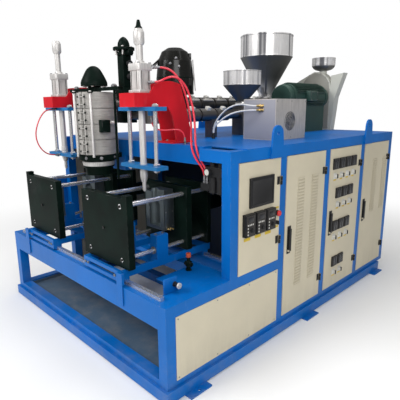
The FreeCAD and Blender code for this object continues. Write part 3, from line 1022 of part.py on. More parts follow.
# ---------------------------------------------------------------- side extruder and the two small hoppers
side_y0 = behind.TowerAt
side_feed0 = behind.SideFeedAt - s.SideFeedSize / 2
side_feed1 = behind.SideFeedAt + s.SideFeedSize / 2
side_top = over_deck.SideBarrelHigh + s.SideFeedRise
tower_half = s.TowerBase / 2
side_parts = [rod("SideTube", "y", s.SideBarrelX, side_y0, over_deck.SideBarrelHigh, s.SideBarrelRadius, side_feed0 - side_y0),
              rod("SideElbow", "x", s.DieX + tower_half, side_y0, over_deck.SideBarrelHigh, s.SideBarrelRadius * 0.7,
                  s.SideBarrelX - s.DieX - tower_half),
              rod("SideCorner", "z", s.SideBarrelX, side_y0, over_deck.SideBarrelHigh - s.SideBand, s.SideBand, 2 * s.SideBand),
              slab("SideFeed", s.SideBarrelX - s.SideFeedSize / 2, s.SideBarrelX + s.SideFeedSize / 2, side_feed0,
                   side_feed1, deck_top, side_top),
              slab("SideGear", s.SideBarrelX - s.SideFeedSize * 0.8, s.SideBarrelX + s.SideFeedSize * 0.8, side_feed1,
                   side_feed1 + 2 * s.SideFeedSize, deck_top, side_top + s.SideFeedSize * 0.3),
              slab("SideStand", s.SideBarrelX - s.SideBarrelRadius, s.SideBarrelX + s.SideBarrelRadius,
                   side_feed0 - 3 * s.SideFeedSize, side_feed0 - 2.5 * s.SideFeedSize, deck_top, over_deck.SideBarrelHigh)]
side_parts += [rod(f"SideBand{i}", "y", s.SideBarrelX, side_y0 + s.SideBandAt + i * (s.BandLength + s.BandSpace),
                   over_deck.SideBarrelHigh, s.SideBand, s.BandLength) for i in range(4)]
node("side_barrel", fuse("SideBarrel", *side_parts))
node("small_hoppers", group("SmallHoppers",
                            shell("SideHopper", s.SideThroat, s.HopperNeck / 2, s.SideRadius, s.SideCone, s.SideHopperTube,
                                  s.SideBarrelX, behind.SideFeedAt, side_top),
                            shell("Bowl", s.BowlNeck, s.HopperWall, s.BowlRadius, s.BowlRise, s.BowlTube, s.BowlX,
                                  bowl_y, bowl_low)))

# ---------------------------------------------------------------- feed tower and domed drum over the main barrel
tower_y0, tower_y1 = behind.TowerAt - tower_half, behind.TowerAt + tower_half
tower_solid = fuse("TowerSolid", slab("TowerBase", s.DieX - tower_half, s.DieX + tower_half, tower_y0, tower_y1,
                                      over_deck.SideBarrelHigh - s.SideBand, over_deck.TowerFoot),
                   slab("TowerColumn", s.DieX - s.TowerRadius, s.DieX + s.TowerRadius, behind.TowerAt - s.TowerRadius,
                        behind.TowerAt + s.TowerRadius, over_deck.TowerFoot, over_deck.TowerTop),
                   *[slab(f"TowerPlate{i}", s.DieX - s.TowerPlateSize / 2, s.DieX + s.TowerPlateSize / 2,
                          behind.TowerAt - s.TowerPlateSize / 2, behind.TowerAt + s.TowerPlateSize / 2,
                          over_deck.TowerTop + i * s.TowerGap, over_deck.TowerTop + i * s.TowerGap + s.TowerPlate) for i in range(2)],
                   rod("TowerNeck", "z", s.DieX, behind.TowerAt, over_deck.TowerTop, s.TowerRadius * 0.7, s.TowerGap * 2),
                   cone("TowerKnob", "z", s.DieX, behind.TowerAt, over_deck.TowerTop + s.TowerGap * 2, s.TowerRadius,
                        s.TowerRadius * 0.45, s.TowerGap * 1.6))
node("feed_tower", cut("FeedTower", tower_solid, rod("TowerClamp", "y", s.DieX, tower_y0, over_deck.BarrelHigh,
                                                     s.BarrelRadius + s.SlideFit, s.TowerBase)))
drum_low = over_deck.BarrelHigh + s.BarrelBand + s.BandSpace
drum_stand = slab("DrumStand", s.DieX - s.DrumStand, s.DieX + s.DrumStand, behind.DrumAt - s.DrumStand * 0.75,
                  behind.DrumAt + s.DrumStand * 0.75, deck_top, drum_low)
r, tall = s.DrumRadius, s.DrumHeight
drum = revolved("DrumDome", [(0, 0), (r, 0), (r * 1.02, tall * 0.35), (r * 0.92, tall * 0.72), (r * 0.7, tall * 0.92),
                             (r * 0.38, tall), (0, tall)], s.DieX, behind.DrumAt, drum_low)
node("domed_drum", cut("DomedDrum", fuse("DrumSolid", drum_stand, drum),
                       rod("DrumClamp", "y", s.DieX, behind.DrumAt - s.DrumStand, over_deck.BarrelHigh, s.BarrelRadius + s.SlideFit,
                           2 * s.DrumStand)))

# ---------------------------------------------------------------- cooling unit with its fan and grille
cooler_x1 = s.CoolerX + s.CoolerWidth
fan_y = behind.CoolerAt + s.FanY
cooler = cut("CoolerCase", slab("CoolerBox", s.CoolerX, cooler_x1, behind.CoolerAt, behind.CoolerAt + s.CoolerDepth, deck_top,
                                deck_top + s.CoolerHeight),
             rod("FanWell", "x", cooler_x1 - s.FanDepth, fan_y, over_deck.FanHigh, s.FanHole, s.FanDepth))
grille = [rod("GrilleSpokeA", "y", cooler_x1 - s.GrilleWire, fan_y - s.FanHole - 1, over_deck.FanHigh, s.GrilleWire,
              2 * s.FanHole + 2),
          rod("GrilleSpokeB", "z", cooler_x1 - s.GrilleWire, fan_y, over_deck.FanHigh - s.FanHole - 1, s.GrilleWire,
              2 * s.FanHole + 2)]
for i in range(3):
    hoop = doc.addObject("Part::Torus", f"GrilleHoop{i}")
    bind(hoop, "Radius1", s.FanHole * (i + 1) / 3.6)
    bind(hoop, "Radius2", s.GrilleWire)
    hoop.Placement = Placement(Vector(), TURN["x"])
    grille.append(put(hoop, cooler_x1 - s.GrilleWire, fan_y, over_deck.FanHigh))
CONDUIT_HEADING = 222
lean_x, lean_y = heading(CONDUIT_HEADING).x, heading(CONDUIT_HEADING).y
conduit_z = [over_deck.ConduitHigh - i * s.ConduitPitch for i in range(2)]
sunk = s.PortSink * 2
fittings = [spout(f"ConduitPort{i}", s.ConduitX - sunk * lean_x, behind.CoolerAt - sunk * lean_y, z, CONDUIT_HEADING, gland_radius,
                  s.ConduitReach + sunk) for i, z in enumerate(conduit_z)]
node("cooling_unit", fuse("CoolingUnit", cooler, *grille, *fittings))

fan = new_body("CoolingFan")
hub = new_sketch(fan, "YZ_Plane", "FanHubFace")
ring(hub, 0, 0, s.FanHub)
feature(fan, "Pad", "FanHubPad", hub, s.FanThick)
shaft = new_sketch(fan, "YZ_Plane", "FanShaftFace")
ring(shaft, 0, 0, s.FanShaft)
feature(fan, "Pad", "FanShaftPad", shaft, s.FanBack, True)
blade = new_sketch(fan, "XY_Plane", "FanBladeRoot", s.FanHub * 0.6)
chord = s.FanThick
outline(blade, [(0, -chord * 0.5), (s.FanSheet, -chord * 0.5), (chord, chord * 0.5), (chord - s.FanSheet, chord * 0.5)])
first_blade = feature(fan, "Pad", "FanBlade", blade, s.FanRadius - s.FanHub * 0.6)
doc.recompute()
blades = fan.newObject("PartDesign::PolarPattern", "FanBlades")
blades.Originals = [first_blade]
blades.Axis = (hub, ["N_Axis"])
blades.Angle = 360
blades.Occurrences = 7
fan.Tip = blades
put(fan, cooler_x1 - s.FanDepth + s.FanBack, fan_y, over_deck.FanHigh)
node("cooling_fan", fan)

# ---------------------------------------------------------------- air hoses and conduits
def hose(name, radius, start, leave, lead, shares, tail, arrive, end):
    """A hose from one port to another, made of straight runs and of arcs that touch them.

    The first and last runs follow the ports. Each point between is a share of the straight way from port to port
    and three sideways shares of that way's length.
    """
    first, last = Vector(*map(value_of, start)), Vector(*map(value_of, end))
    way = last - first
    points = [first, first + Vector(*leave) * lead]
    points += [first + way * share[0] + Vector(*share[1:]) * way.Length for share in shares]
    points += [last + Vector(*arrive) * tail, last]
    edges, here, bends = [], first, []
    for before, corner, after in zip(points, points[1:], points[2:]):
        come, go = corner - before, after - corner
        half = come.getAngle(go) / 2
        reach = 0.45 * min(come.Length, go.Length)
        bend = reach / math.tan(half)
        begin, finish = corner - come * (reach / come.Length), corner + go * (reach / go.Length)
        inward = (begin + finish) * 0.5 - corner
        middle = corner + inward * (bend * (1 / math.cos(half) - 1) / inward.Length)
        edges += [Part.makeLine(here, begin), Part.Arc(begin, middle, finish).toShape()]
        here = finish
        bends.append(bend)
    edges.append(Part.makeLine(here, last))
    line = Part.Wire(edges)
    size = value_of(radius)
    section = Part.Wire(Part.makeCircle(size, first, Vector(*leave)))
    obj = doc.addObject("Part::Feature", name)
    obj.Shape = line.makePipeShell([section], True, False)
    fill = obj.Shape.Volume / (math.pi * size ** 2 * line.Length)
    print(f"{name}: {line.Length:.0f} mm, tightest bend {min(bends):.0f}, volume over section by length {fill:.4f}")
    print("  route", [(round(p.x, 1), round(p.y, 1), round(p.z, 1)) for p in points])
    if min(bends) < 9 * size or abs(fill - 1) > 0.002:
        raise RuntimeError(f"{name} is bent too tightly or isn't sound")
    return obj


def port_mouth(turn, reach, z):
    """Where a port of the right blow unit ends."""
    out_reach = reach + s.PortOut
    return right_x + out_reach * heading(turn).x, behind.ClampY + out_reach * heading(turn).y, z


node("air_hose_cap", hose("AirHoseCap", s.HoseRadius, port_mouth(*AIR_PORTS[0]), heading(AIR_PORTS[0][0]), 60,
                          [(0.14, 0.0295, 0.1, 0.0875), (0.228, 0.0267, 0.1321, 0.0864),
                           (0.327, 0.0144, 0.1432, 0.0709), (0.435, 0.0008, 0.1362, 0.0513),
                           (0.542, -0.01, 0.1099, 0.0332), (0.644, -0.0187, 0.0599, 0.0228),
                           (0.73, -0.0206, 0.0182, 0.015), (0.806, -0.0087, 0.0032, 0.0104),
                           (0.875, 0.0134, 0.0038, 0.0153)],
                          54, (0, 0, 1), (manifold_ports[0], air_y, port_top)))
node("air_hose_arm", hose("AirHoseArm", s.HoseRadius, port_mouth(*AIR_PORTS[1]), heading(AIR_PORTS[1][0]), 58,
                          [(0.112, 0.0728, 0.0203, 0.1228), (0.166, 0.0878, 0.0579, 0.1878),
                           (0.217, 0.0922, 0.1002, 0.2155), (0.268, 0.0886, 0.1305, 0.215),
                           (0.329, 0.0763, 0.1505, 0.2017), (0.419, 0.0586, 0.1533, 0.1717),
                           (0.518, 0.034, 0.1368, 0.136), (0.615, 0.0103, 0.1019, 0.1013),
                           (0.707, -0.003, 0.0548, 0.073), (0.785, -0.0018, 0.0268, 0.0514),
                           (0.86, 0.0142, 0.0182, 0.038)],
                          56, (0, 0, 1), (manifold_ports[1], air_y, port_top)))
node("air_hose_cage", hose("AirHoseCage", s.ThinHoseRadius, (block_x, block_y, block_low - s.PortStem), (0, 0, -1), 50,
                           [(0.267, -0.0666, -0.0877, -0.1342), (0.419, -0.036, -0.0305, -0.0782),
                            (0.586, 0.0059, 0.0305, 0.0427), (0.73, 0.0451, 0.081, 0.1219)],
                           48, (0, 0, 1), (s.CageGlandX, cage_gland_y, beam_top + s.GlandHeight)))
left_port_y = cage_front - s.GlandHeight
node("air_hose_left", hose("AirHoseLeft", s.ThinHoseRadius, (left_pin_x, left_port_y, left_ports[0]), (0, -1, 0), 60,
                           [(0.215, 0, -0.2916, 0.0999), (0.353, 0, -0.399, 0.0538),
                            (0.501, 0, -0.4655, -0.0182), (0.645, 0, -0.4348, -0.0941),
                            (0.779, 0, -0.3197, -0.134)],
                           62, (0, -1, 0), (left_pin_x, left_port_y, left_ports[1])))
conduit_start = (s.ConduitX + s.ConduitReach * lean_x, behind.CoolerAt + s.ConduitReach * lean_y)
node("cooler_conduit", group(
    "CoolerConduits",
    hose("CoolerConduitHigh", s.ConduitRadius, (*conduit_start, conduit_z[0]), (lean_x, lean_y, 0), 60,
         [(0.238, -0.0345, -0.095, 0.1496), (0.373, -0.0754, -0.0947, 0.1962),
          (0.511, -0.1077, -0.0779, 0.2041), (0.652, -0.1214, -0.0566, 0.1774),
          (0.784, -0.1168, -0.0346, 0.1302)],
         56, (0, 0, 1), (s.GlandOneX, behind.GlandOneAt, gland_top)),
    hose("CoolerConduitLow", s.ConduitRadius, (*conduit_start, conduit_z[1]), (lean_x, lean_y, 0), 60,
         [(0.271, -0.021, -0.1073, 0.117), (0.417, -0.0536, -0.1227, 0.1513),
          (0.563, -0.0816, -0.1111, 0.1541), (0.702, -0.0974, -0.0835, 0.131),
          (0.79, -0.1103, -0.062, 0.1194)],
         56, (0, 0, 1), (s.GlandTwoX, behind.GlandTwoAt, gland_top))))

# ---------------------------------------------------------------- checks and export
doc.recompute()
broken = [obj.Name for obj in doc.Objects if "Invalid" in obj.State or "Error" in obj.State]
if broken:
    raise RuntimeError(f"features that did not build: {broken}")
for name, obj in nodes.items():
    if obj.Shape.isNull() or not obj.Shape.isValid() or not obj.Shape.Solids:
        raise RuntimeError(f"{name} has no sound solid")
os.makedirs("parts", exist_ok=True)
for name, obj in nodes.items():
    obj.Shape.exportStep(f"parts/{name}.step")
    box = obj.Shape.BoundBox
    print(f"{name}: {len(obj.Shape.Solids)} solids, {obj.Shape.Volume / 1e6:.2f} l, "
          f"x {box.XMin:.0f}..{box.XMax:.0f} y {box.YMin:.0f}..{box.YMax:.0f} z {box.ZMin:.0f}..{box.ZMax:.0f}")
print(len(nodes), "sub-parts")
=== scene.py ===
import json
import math

import bpy
from mathutils import Matrix, Vector


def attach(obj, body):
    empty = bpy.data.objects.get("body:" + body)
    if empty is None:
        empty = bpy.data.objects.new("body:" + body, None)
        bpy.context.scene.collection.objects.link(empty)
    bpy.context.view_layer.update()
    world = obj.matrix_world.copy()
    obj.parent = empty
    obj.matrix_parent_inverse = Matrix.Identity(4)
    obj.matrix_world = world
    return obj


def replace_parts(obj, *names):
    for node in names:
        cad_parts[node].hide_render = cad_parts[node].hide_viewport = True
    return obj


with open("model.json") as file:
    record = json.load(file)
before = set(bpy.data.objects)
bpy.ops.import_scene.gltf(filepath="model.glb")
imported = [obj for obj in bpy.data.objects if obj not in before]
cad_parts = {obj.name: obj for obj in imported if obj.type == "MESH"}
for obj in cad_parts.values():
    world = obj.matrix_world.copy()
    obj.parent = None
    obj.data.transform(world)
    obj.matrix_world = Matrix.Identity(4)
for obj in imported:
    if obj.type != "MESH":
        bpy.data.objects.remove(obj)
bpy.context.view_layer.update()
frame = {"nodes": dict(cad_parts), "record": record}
CAD = frame["nodes"]
bpy.ops.object.select_all(action="DESELECT")


# ---- view

SENSOR_MM = 36
FOCAL_PIXELS = 411.9975
PHOTO_PIXELS = 400


def set_camera():
    yaw, pitch, roll = math.radians(45.366), math.radians(12.802), math.radians(-0.4727)
    forward = Vector((-math.sin(yaw) * math.cos(pitch), math.cos(yaw) * math.cos(pitch), -math.sin(pitch)))
    level = Vector((math.cos(yaw), math.sin(yaw), 0))
    above = level.cross(forward)
    right = math.cos(roll) * level + math.sin(roll) * above
    up = math.cos(roll) * above - math.sin(roll) * level
    data = bpy.data.cameras.new("camera")
    data.sensor_width = SENSOR_MM
    data.lens = SENSOR_MM * FOCAL_PIXELS / PHOTO_PIXELS
    data.clip_end = 200
    camera = bpy.data.objects.new("camera", data)
    bpy.context.scene.collection.objects.link(camera)
    turn = Matrix((right, up, -forward)).transposed().to_4x4()
    camera.matrix_world = Matrix.Translation((2.71628, -2.86604, 1.72238)) @ turn
    bpy.context.scene.camera = camera


# ---- finishes

class Value:
    """One value in a finish, on which sums are written as plain Python."""

    def __init__(self, finish, socket):
        self.finish = finish
        self.socket = socket

    def math(self, operation, *others, clamp=False):
        inputs = dict(enumerate((self,) + others))
        return self.finish.add("Math", {"operation": operation, "use_clamp": clamp}, inputs)

    def turned(self, operation, first):
        return self.finish.add("Math", {"operation": operation}, {0: first, 1: self})

    def __add__(self, other):
        return self.math("ADD", other)

    def __radd__(self, other):
        return self.turned("ADD", other)

    def __sub__(self, other):
        return self.math("SUBTRACT", other)

    def __rsub__(self, other):
        return self.turned("SUBTRACT", other)

    def __mul__(self, other):
        return self.math("MULTIPLY", other)

    def __lt__(self, other):
        return self.math("LESS_THAN", other)

    def clamp(self):
        return self.math("ADD", 0.0, clamp=True)

    def step(self, low, high):
        """0 below low, 1 above high, smooth between them."""
        inputs = {0: self, 1: low, 2: high, 3: 0.0, 4: 1.0}
        return self.finish.add("MapRange", {"interpolation_type": "SMOOTHSTEP"}, inputs)


class Finish:
    """A paint, metal or plastic, mixed in its own node tree."""

    def __init__(self, name):
        self.material = bpy.data.materials.new(name)
        self.material.use_nodes = True
        self.tree = self.material.node_tree
        self.tree.nodes.clear()
        self.place = self.add("TexCoord", {}, {}, "Object")

    def feed(self, node, inputs):
        for key, value in inputs.items():
            if isinstance(value, Value):
                self.tree.links.new(value.socket, node.inputs[key])
            else:
                node.inputs[key].default_value = value

    def add(self, kind, settings, inputs, output=0):
        node = self.tree.nodes.new(f"ShaderNode{kind}")
        for key, value in settings.items():
            setattr(node, key, value)
        self.feed(node, inputs)
        return Value(self, node.outputs[output])

    def stretched(self, scale):
        return self.add("Mapping", {}, {"Vector": self.place, "Scale": scale})

    def noise(self, scale, detail=3.0, rough=0.5, at=None):
        inputs = {"Vector": at or self.place, "Scale": scale, "Detail": detail, "Roughness": rough}
        return self.add("TexNoise", {}, inputs)

    def cells(self, scale):
        return self.add("TexVoronoi", {}, {"Vector": self.place, "Scale": scale}, "Distance")

    def along(self, axis):
        return self.add("SeparateXYZ", {}, {0: self.place}, axis)

    def blend(self, mask, first, second):
        """first where the mask is 0 and second where it is 1."""
        inputs = {0: mask}
        for key, colour in ((6, first), (7, second)):
            inputs[key] = colour if isinstance(colour, Value) else (*colour, 1)
        return self.add("Mix", {"data_type": "RGBA"}, inputs, 2)

    def facing(self, way):
        """1 where the surface faces a way, 0 where it stands across it."""
        normal = self.add("NewGeometry", {}, {}, "Normal")
        return self.add("VectorMath", {"operation": "DOT_PRODUCT"}, {0: normal, 1: way}, "Value")

    def rubbed_edges(self, radius):
        """1 on the outer edges and in corners, 0 on the flat."""
        soft = self.add("Bevel", {"samples": 4}, {"Radius": radius})
        return (1.0 - self.facing(soft)).step(0.01, 0.12)

    def surface(self, colour, rough, metal=0.0, height=None, depth=0.001, fixed=None):
        shader = self.tree.nodes.new("ShaderNodeBsdfPrincipled")
        inputs = {"Base Color": colour, "Roughness": rough, "Metallic": metal, **(fixed or {})}
        if height is not None:
            inputs["Normal"] = self.add("Bump", {}, {"Strength": 1.0, "Distance": depth, "Height": height})
        self.feed(shader, inputs)
        out = self.tree.nodes.new("ShaderNodeOutputMaterial")
        self.tree.links.new(shader.outputs[0], out.inputs["Surface"])
        return self.material


def shade_of(colour, factor):
    return tuple(min(1.0, channel * factor) for channel in colour)


def enamel(name, colour, gloss=0.28, chips=0.5, dust=0.35):
    """Sprayed enamel on steel, with an orange peel, rubbed edges, fine scuffs and dust near the floor."""
    finish = Finish(name)
    mottle = finish.noise(2.3, 4.0)
    peel = finish.noise(420.0, 1.0)
    scuff = finish.noise(26.0, 6.0, 0.7, finish.stretched((1, 1, 0.18)))
    chip = (finish.rubbed_edges(0.004) * finish.noise(38.0, 4.0, 0.7).step(0.46, 0.62) * chips).clamp()
    low = (0.55 - finish.along("Z")).step(0.0, 0.9) * finish.noise(7.0, 5.0, 0.65).step(0.38, 0.75) * dust
    coat = finish.blend(mottle.step(0.3, 0.7), shade_of(colour, 0.88), shade_of(colour, 1.08))
    coat = finish.blend(scuff.step(0.58, 0.78) * 0.35, coat, tuple(0.75 * c + 0.12 for c in colour))
    coat = finish.blend(low, coat, (0.30, 0.28, 0.25))
    coat = finish.blend(chip, coat, (0.22, 0.21, 0.20))
    rough = gloss + mottle * 0.10 + scuff.step(0.5, 0.8) * 0.22 + low * 0.4
    height = peel * 0.12 + mottle * 0.6 - chip * 0.35
    return finish.surface(coat, rough, height=height, depth=0.0012, fixed={"Specular IOR Level": 0.16})


# Within these bounds the cream sheets are coloured near-black, as painted shade for the machine's dark interior.
INNER_X = 1.02      # the sheets' inner faces lie within these, in metres
INNER_Y = 1.5


def powder_coat(name, colour, inner_shade_colour=None):
    """Powder coat on sheet: an even grain, hand marks and dirt at the foot. Inside walls take a near-black
    painted shade in place of the colour.
    """
    finish = Finish(name)
    mottle = finish.noise(1.7, 5.0, 0.6)
    grain = finish.noise(650.0, 2.0)
    streak = finish.noise(4.0, 6.0, 0.7, finish.stretched((3.0, 3.0, 0.35)))
    edge = finish.rubbed_edges(0.003) * 0.35
    foot = (0.42 - finish.along("Z")).step(0.0, 0.5) * streak.step(0.35, 0.7) * 0.3
    coat = finish.blend(mottle.step(0.3, 0.7), shade_of(colour, 0.93), shade_of(colour, 1.04))
    coat = finish.blend(streak.step(0.62, 0.85) * 0.25, coat, shade_of(colour, 0.8))
    coat = finish.blend((edge + foot).clamp(), coat, (0.25, 0.22, 0.17))
    # painted shade: faces inside the machine take the near-black colour, where the interior lies in shade
    if inner_shade_colour:
        inside = (finish.along("X").math("ABSOLUTE") < INNER_X) * (finish.along("Y") < INNER_Y)
        coat = finish.blend(inside, coat, inner_shade_colour)
    rough = 0.42 + mottle * 0.1 + grain * 0.06 + foot * 0.3
    return finish.surface(coat, rough, height=grain * 0.35 + mottle * 0.5, depth=0.0008)


def bright_bar(name, colour, rough):
    """Ground and chromed bar with fine turning lines and an oil film."""
    finish = Finish(name)
    lines = finish.noise(60.0, 3.0, 0.7, finish.stretched((1, 1, 22)))
    film = finish.noise(9.0, 4.0)
    tint = finish.blend(film.step(0.35, 0.75), colour, shade_of(colour, 0.82))
    return finish.surface(tint, rough + lines * 0.12 + film * 0.1, 0.85, lines * 0.1, 0.0003)


def brushed(name, colour, rough=0.3, along=(1, 1, 0.04), scale=180.0, stain=0.35, metal=1.0):
    """Sheet or machined steel with its grain drawn along one way, fingerprints and heat or oil stains."""
    finish = Finish(name)
    grain = finish.noise(scale, 4.0, 0.75, finish.stretched(along))
    cloud = finish.noise(5.0, 5.0, 0.6)
    spot = finish.noise(45.0, 3.0).step(0.62, 0.72)
    edge = finish.rubbed_edges(0.003)
    tint = finish.blend(grain.step(0.25, 0.75), shade_of(colour, 0.78), shade_of(colour, 1.15))
    tint = finish.blend(cloud.step(0.45, 0.75) * stain, tint, shade_of(colour, 0.45))
    tint = finish.blend(edge * 0.5, tint, shade_of(colour, 1.3))
    rough = rough + grain * 0.16 + cloud * 0.12 + spot * 0.1
    return finish.surface(tint, rough, metal, grain * 0.3 + spot * 0.1, 0.0004)


def sheet_hopper(name):
    """Rolled stainless sheet: bright and dark painted reflection bands up the tube, and a duller, darker conical
    part whose darkness is painted shade on the down-facing faces.
    """
    finish = Finish(name)
    # painted reflection: streaks stretched up the tube swing the colour from near-black to near-white
    bands = finish.noise(11.0, 2.0, 0.5, finish.stretched((1, 1, 0.02)))
    grain = finish.noise(160.0, 3.0, 0.7, finish.stretched((1, 1, 0.03)))
    # painted shade: faces that look downward are darkened; the same mask also raises roughness and metalness
    cone = finish.facing((0, 0, -1)).step(0.15, 0.4)
    # colours of the painted reflection bands, then the painted shade on the conical part
    tube = finish.blend(bands.step(0.36, 0.50), (0.16, 0.16, 0.17), (0.90, 0.88, 0.86))
    tint = finish.blend(cone, tube, (0.16, 0.16, 0.155))
    tint = finish.blend(grain.step(0.4, 0.8) * 0.3, tint, (0.30, 0.30, 0.30))
    rough = 0.20 + grain * 0.12 + cone * 0.22
    return finish.surface(tint, rough, 0.35 + cone * 0.5, grain * 0.3, 0.0003)


def blackened(name, colour, shine, gleam):
    """Blackened or black painted plate with bright rubbed edges, oil and small knocks."""
    finish = Finish(name)
    cloud = finish.noise(6.0, 5.0, 0.6)
    knock = finish.cells(55.0).step(0.0, 0.09)
    edge = finish.rubbed_edges(0.003) * finish.noise(30.0, 3.0).step(0.4, 0.6)
    oil = finish.noise(2.6, 3.0).step(0.5, 0.68)
    tint = finish.blend(cloud.step(0.3, 0.7), shade_of(colour, 0.7), shade_of(colour, 1.5))
    tint = finish.blend((edge * 0.4 + (1.0 - knock) * 0.05).clamp(), tint, (0.14, 0.14, 0.14))
    rough = shine + cloud * 0.16 - oil * 0.2
    return finish.surface(tint, rough, 0.0, cloud * 0.4 + knock * 0.15, 0.0008, {"Specular IOR Level": gleam})


def moulded(name, colour, rough=0.5, fixed=None):
    """Moulded plastic with a spark-eroded grain and worn, paler edges."""
    finish = Finish(name)
    grain = finish.noise(900.0, 2.0)
    cloud = finish.noise(8.0, 4.0)
    edge = finish.rubbed_edges(0.002) * 0.35
    tint = finish.blend(cloud.step(0.35, 0.7), shade_of(colour, 0.9), shade_of(colour, 1.1))
    tint = finish.blend(edge, tint, tuple(0.7 * c + 0.12 for c in colour))
    return finish.surface(tint, rough + cloud * 0.1, 0.0, grain * 0.5 + cloud * 0.2, 0.0004, fixed)


def hose_skin(name, colour):
    """Smooth polyurethane air hose, a little dusty."""
    finish = Finish(name)
    cloud = finish.noise(14.0, 4.0)
    dust = finish.noise(60.0, 5.0, 0.7).step(0.5, 0.8) * 0.2
    tint = finish.blend(cloud.step(0.3, 0.7), shade_of(colour, 0.88), shade_of(colour, 1.06))
    tint = finish.blend(dust, tint, tuple(0.7 * c + 0.18 for c in colour))
    gloss = {"Coat Weight": 0.3, "Coat Roughness": 0.12}
    return finish.surface(tint, 0.25 + cloud * 0.12 + dust, height=cloud, depth=0.0004, fixed=gloss)


def cast_shell(name, colour, rough=0.55):
    """Painted casting with a sandy skin."""
    finish = Finish(name)
    sand = finish.noise(240.0, 3.0, 0.7)
    cloud = finish.noise(5.0, 5.0, 0.6)
    edge = finish.rubbed_edges(0.004) * finish.noise(24.0, 3.0).step(0.45, 0.6) * 0.5
    tint = finish.blend(cloud.step(0.3, 0.7), shade_of(colour, 0.82), shade_of(colour, 1.12))
    tint = finish.blend(edge, tint, (0.25, 0.25, 0.24))
    return finish.surface(tint, rough + cloud * 0.12, height=sand * 0.7 + cloud, depth=0.0012)


BLUE = (0.001, 0.130, 0.47)
CREAM = (0.60, 0.545, 0.41)


def mix_finishes():
    return {
        "blue_paint": enamel("machine_blue_enamel", BLUE),
        "slate": enamel("tray_grey_enamel", (0.07, 0.115, 0.17), 0.4, 0.5, 0.6),
        # the last colour is a near-black painted shade for the inside walls
        "cream_paint": powder_coat("cream_coat_with_inside_shade", CREAM, (0.006, 0.018, 0.045)),
        "hinge_black": moulded("black_fittings", (0.014, 0.014, 0.015), 0.42, {"Specular IOR Level": 0.25}),
        "polished_steel": bright_bar("chromed_bar", (0.84, 0.84, 0.85), 0.14),
        "fitting_metal": brushed("plated_fittings", (0.30, 0.30, 0.31), 0.32),
        "black_steel": blackened("blackened_plate", (0.0032, 0.0085, 0.0062), 0.36, 0.05),
        "mould_steel": brushed("mould_block_steel", (0.16, 0.19, 0.20), 0.34),
        "red_paint": enamel("arm_red_enamel", (0.60, 0.012, 0.022), 0.26),
        "cage_blue": enamel("cage_blue_enamel", (0.02, 0.17, 0.42)),
        "cylinder_alloy": brushed("cylinder_alloy", (0.70, 0.68, 0.66), 0.36, stain=0.12, metal=0.6),
        "head_steel": brushed("heater_band_steel", (0.44, 0.425, 0.40), 0.5, (0.05, 0.05, 1), metal=0.3),
        "hopper_steel": sheet_hopper("hopper_sheet_painted_light"),
        "screw_steel": brushed("turned_steel", (0.50, 0.50, 0.50)),
        "gear_grey": cast_shell("gearbox_paint", (0.05, 0.06, 0.065)),
        "motor_green": cast_shell("motor_green_paint", (0.02, 0.06, 0.045), 0.45),
        "guard_cream": enamel("guard_pale_enamel", (0.56, 0.56, 0.50), 0.4),
        "cooler_steel": brushed("stainless_case", (0.56, 0.53, 0.50), 0.42, (1, 1, 0.05), 120.0, 0.4, 0.5),
        "band_steel": brushed("barrel_band_steel", (0.20, 0.19, 0.185), 0.24, (1, 0.05, 1), 90.0, 0.5),
        "gloss_black": blackened("glossy_black_enamel", (0.007, 0.007, 0.006), 0.12, 0.30),
        "fan_plastic": moulded("fan_moulding", (0.035, 0.035, 0.037)),
        "button_red": moulded("red_button", (0.62, 0.012, 0.014), 0.25),
        "red_hose": hose_skin("red_air_hose", (0.72, 0.018, 0.045)),
        "white_hose": hose_skin("pale_conduit", (0.66, 0.66, 0.66)),
        "brass": brushed("brass_fitting", (0.52, 0.36, 0.14), 0.28),
        "orange_cap": moulded("orange_valve_cap", (0.62, 0.09, 0.03), 0.4),
        "pale_plastic": moulded("pale_plastic", (0.62, 0.61, 0.57), 0.38),
        "panel_grey": moulded("instrument_housing", (0.034, 0.031, 0.029), 0.45, {"Specular IOR Level": 0.3}),
        "yellow_strip": moulded("blank_yellow_strip", (0.62, 0.44, 0.03), 0.5),
        "pale_sheet": powder_coat("cooler_pale_sheet", (0.30, 0.30, 0.335)),
        # painted shade: a half-bright copy of the pale guard enamel, worn by the guard's front faces
        "guard_shade": enamel("guard_face_painted_shade", (0.28, 0.275, 0.245), 0.4),
        "screen_glass": moulded("dark_display_glass", (0.020, 0.021, 0.024), 0.2, {"Specular IOR Level": 0.35}),
    }


def paint_nodes(finishes):
    """Each CAD node takes the finish of its slot in the record, and a few of them a closer one."""
    closer = {"main_barrel": "band_steel", "side_barrel": "band_steel", "domed_drum": "gloss_black"}
    for part in frame["record"]["subparts"]:
        mesh_object = CAD[part["node"]]
        mesh_object.data.materials.clear()
        mesh_object.data.materials.append(finishes[closer.get(part["node"], part["material_slot"])])


# ---- studio

def lay_floor():
    bpy.ops.mesh.primitive_plane_add(size=120, location=(0, 0, 0))
    floor = bpy.context.object
    floor.name = "studio_floor"
    finish = Finish("studio_floor_pale")
    mottle = finish.noise(0.8, 3.0)
    tint = finish.blend(mottle, (0.90, 0.90, 0.90), (0.94, 0.94, 0.94))
    finish.surface(tint, 0.9)
    shader = next(n for n in finish.tree.nodes if n.type == "BSDF_PRINCIPLED")
    out = next(n for n in finish.tree.nodes if n.type == "OUTPUT_MATERIAL")
    glow = finish.add("Emission", {}, {"Color": (1, 1, 1, 1), "Strength": 1.0})
    away = finish.add("VectorMath", {"operation": "LENGTH"}, {0: finish.place}, "Value")
    seen = finish.add("LightPath", {}, {}, "Is Camera Ray")
    mask = away.step(1.9, 5.0) * seen
    both = finish.add("MixShader", {}, {0: mask, 1: Value(finish, shader.outputs[0]), 2: glow})
    finish.tree.links.new(both.socket, out.inputs["Surface"])
    floor.data.materials.append(finish.material)
    floor.select_set(False)


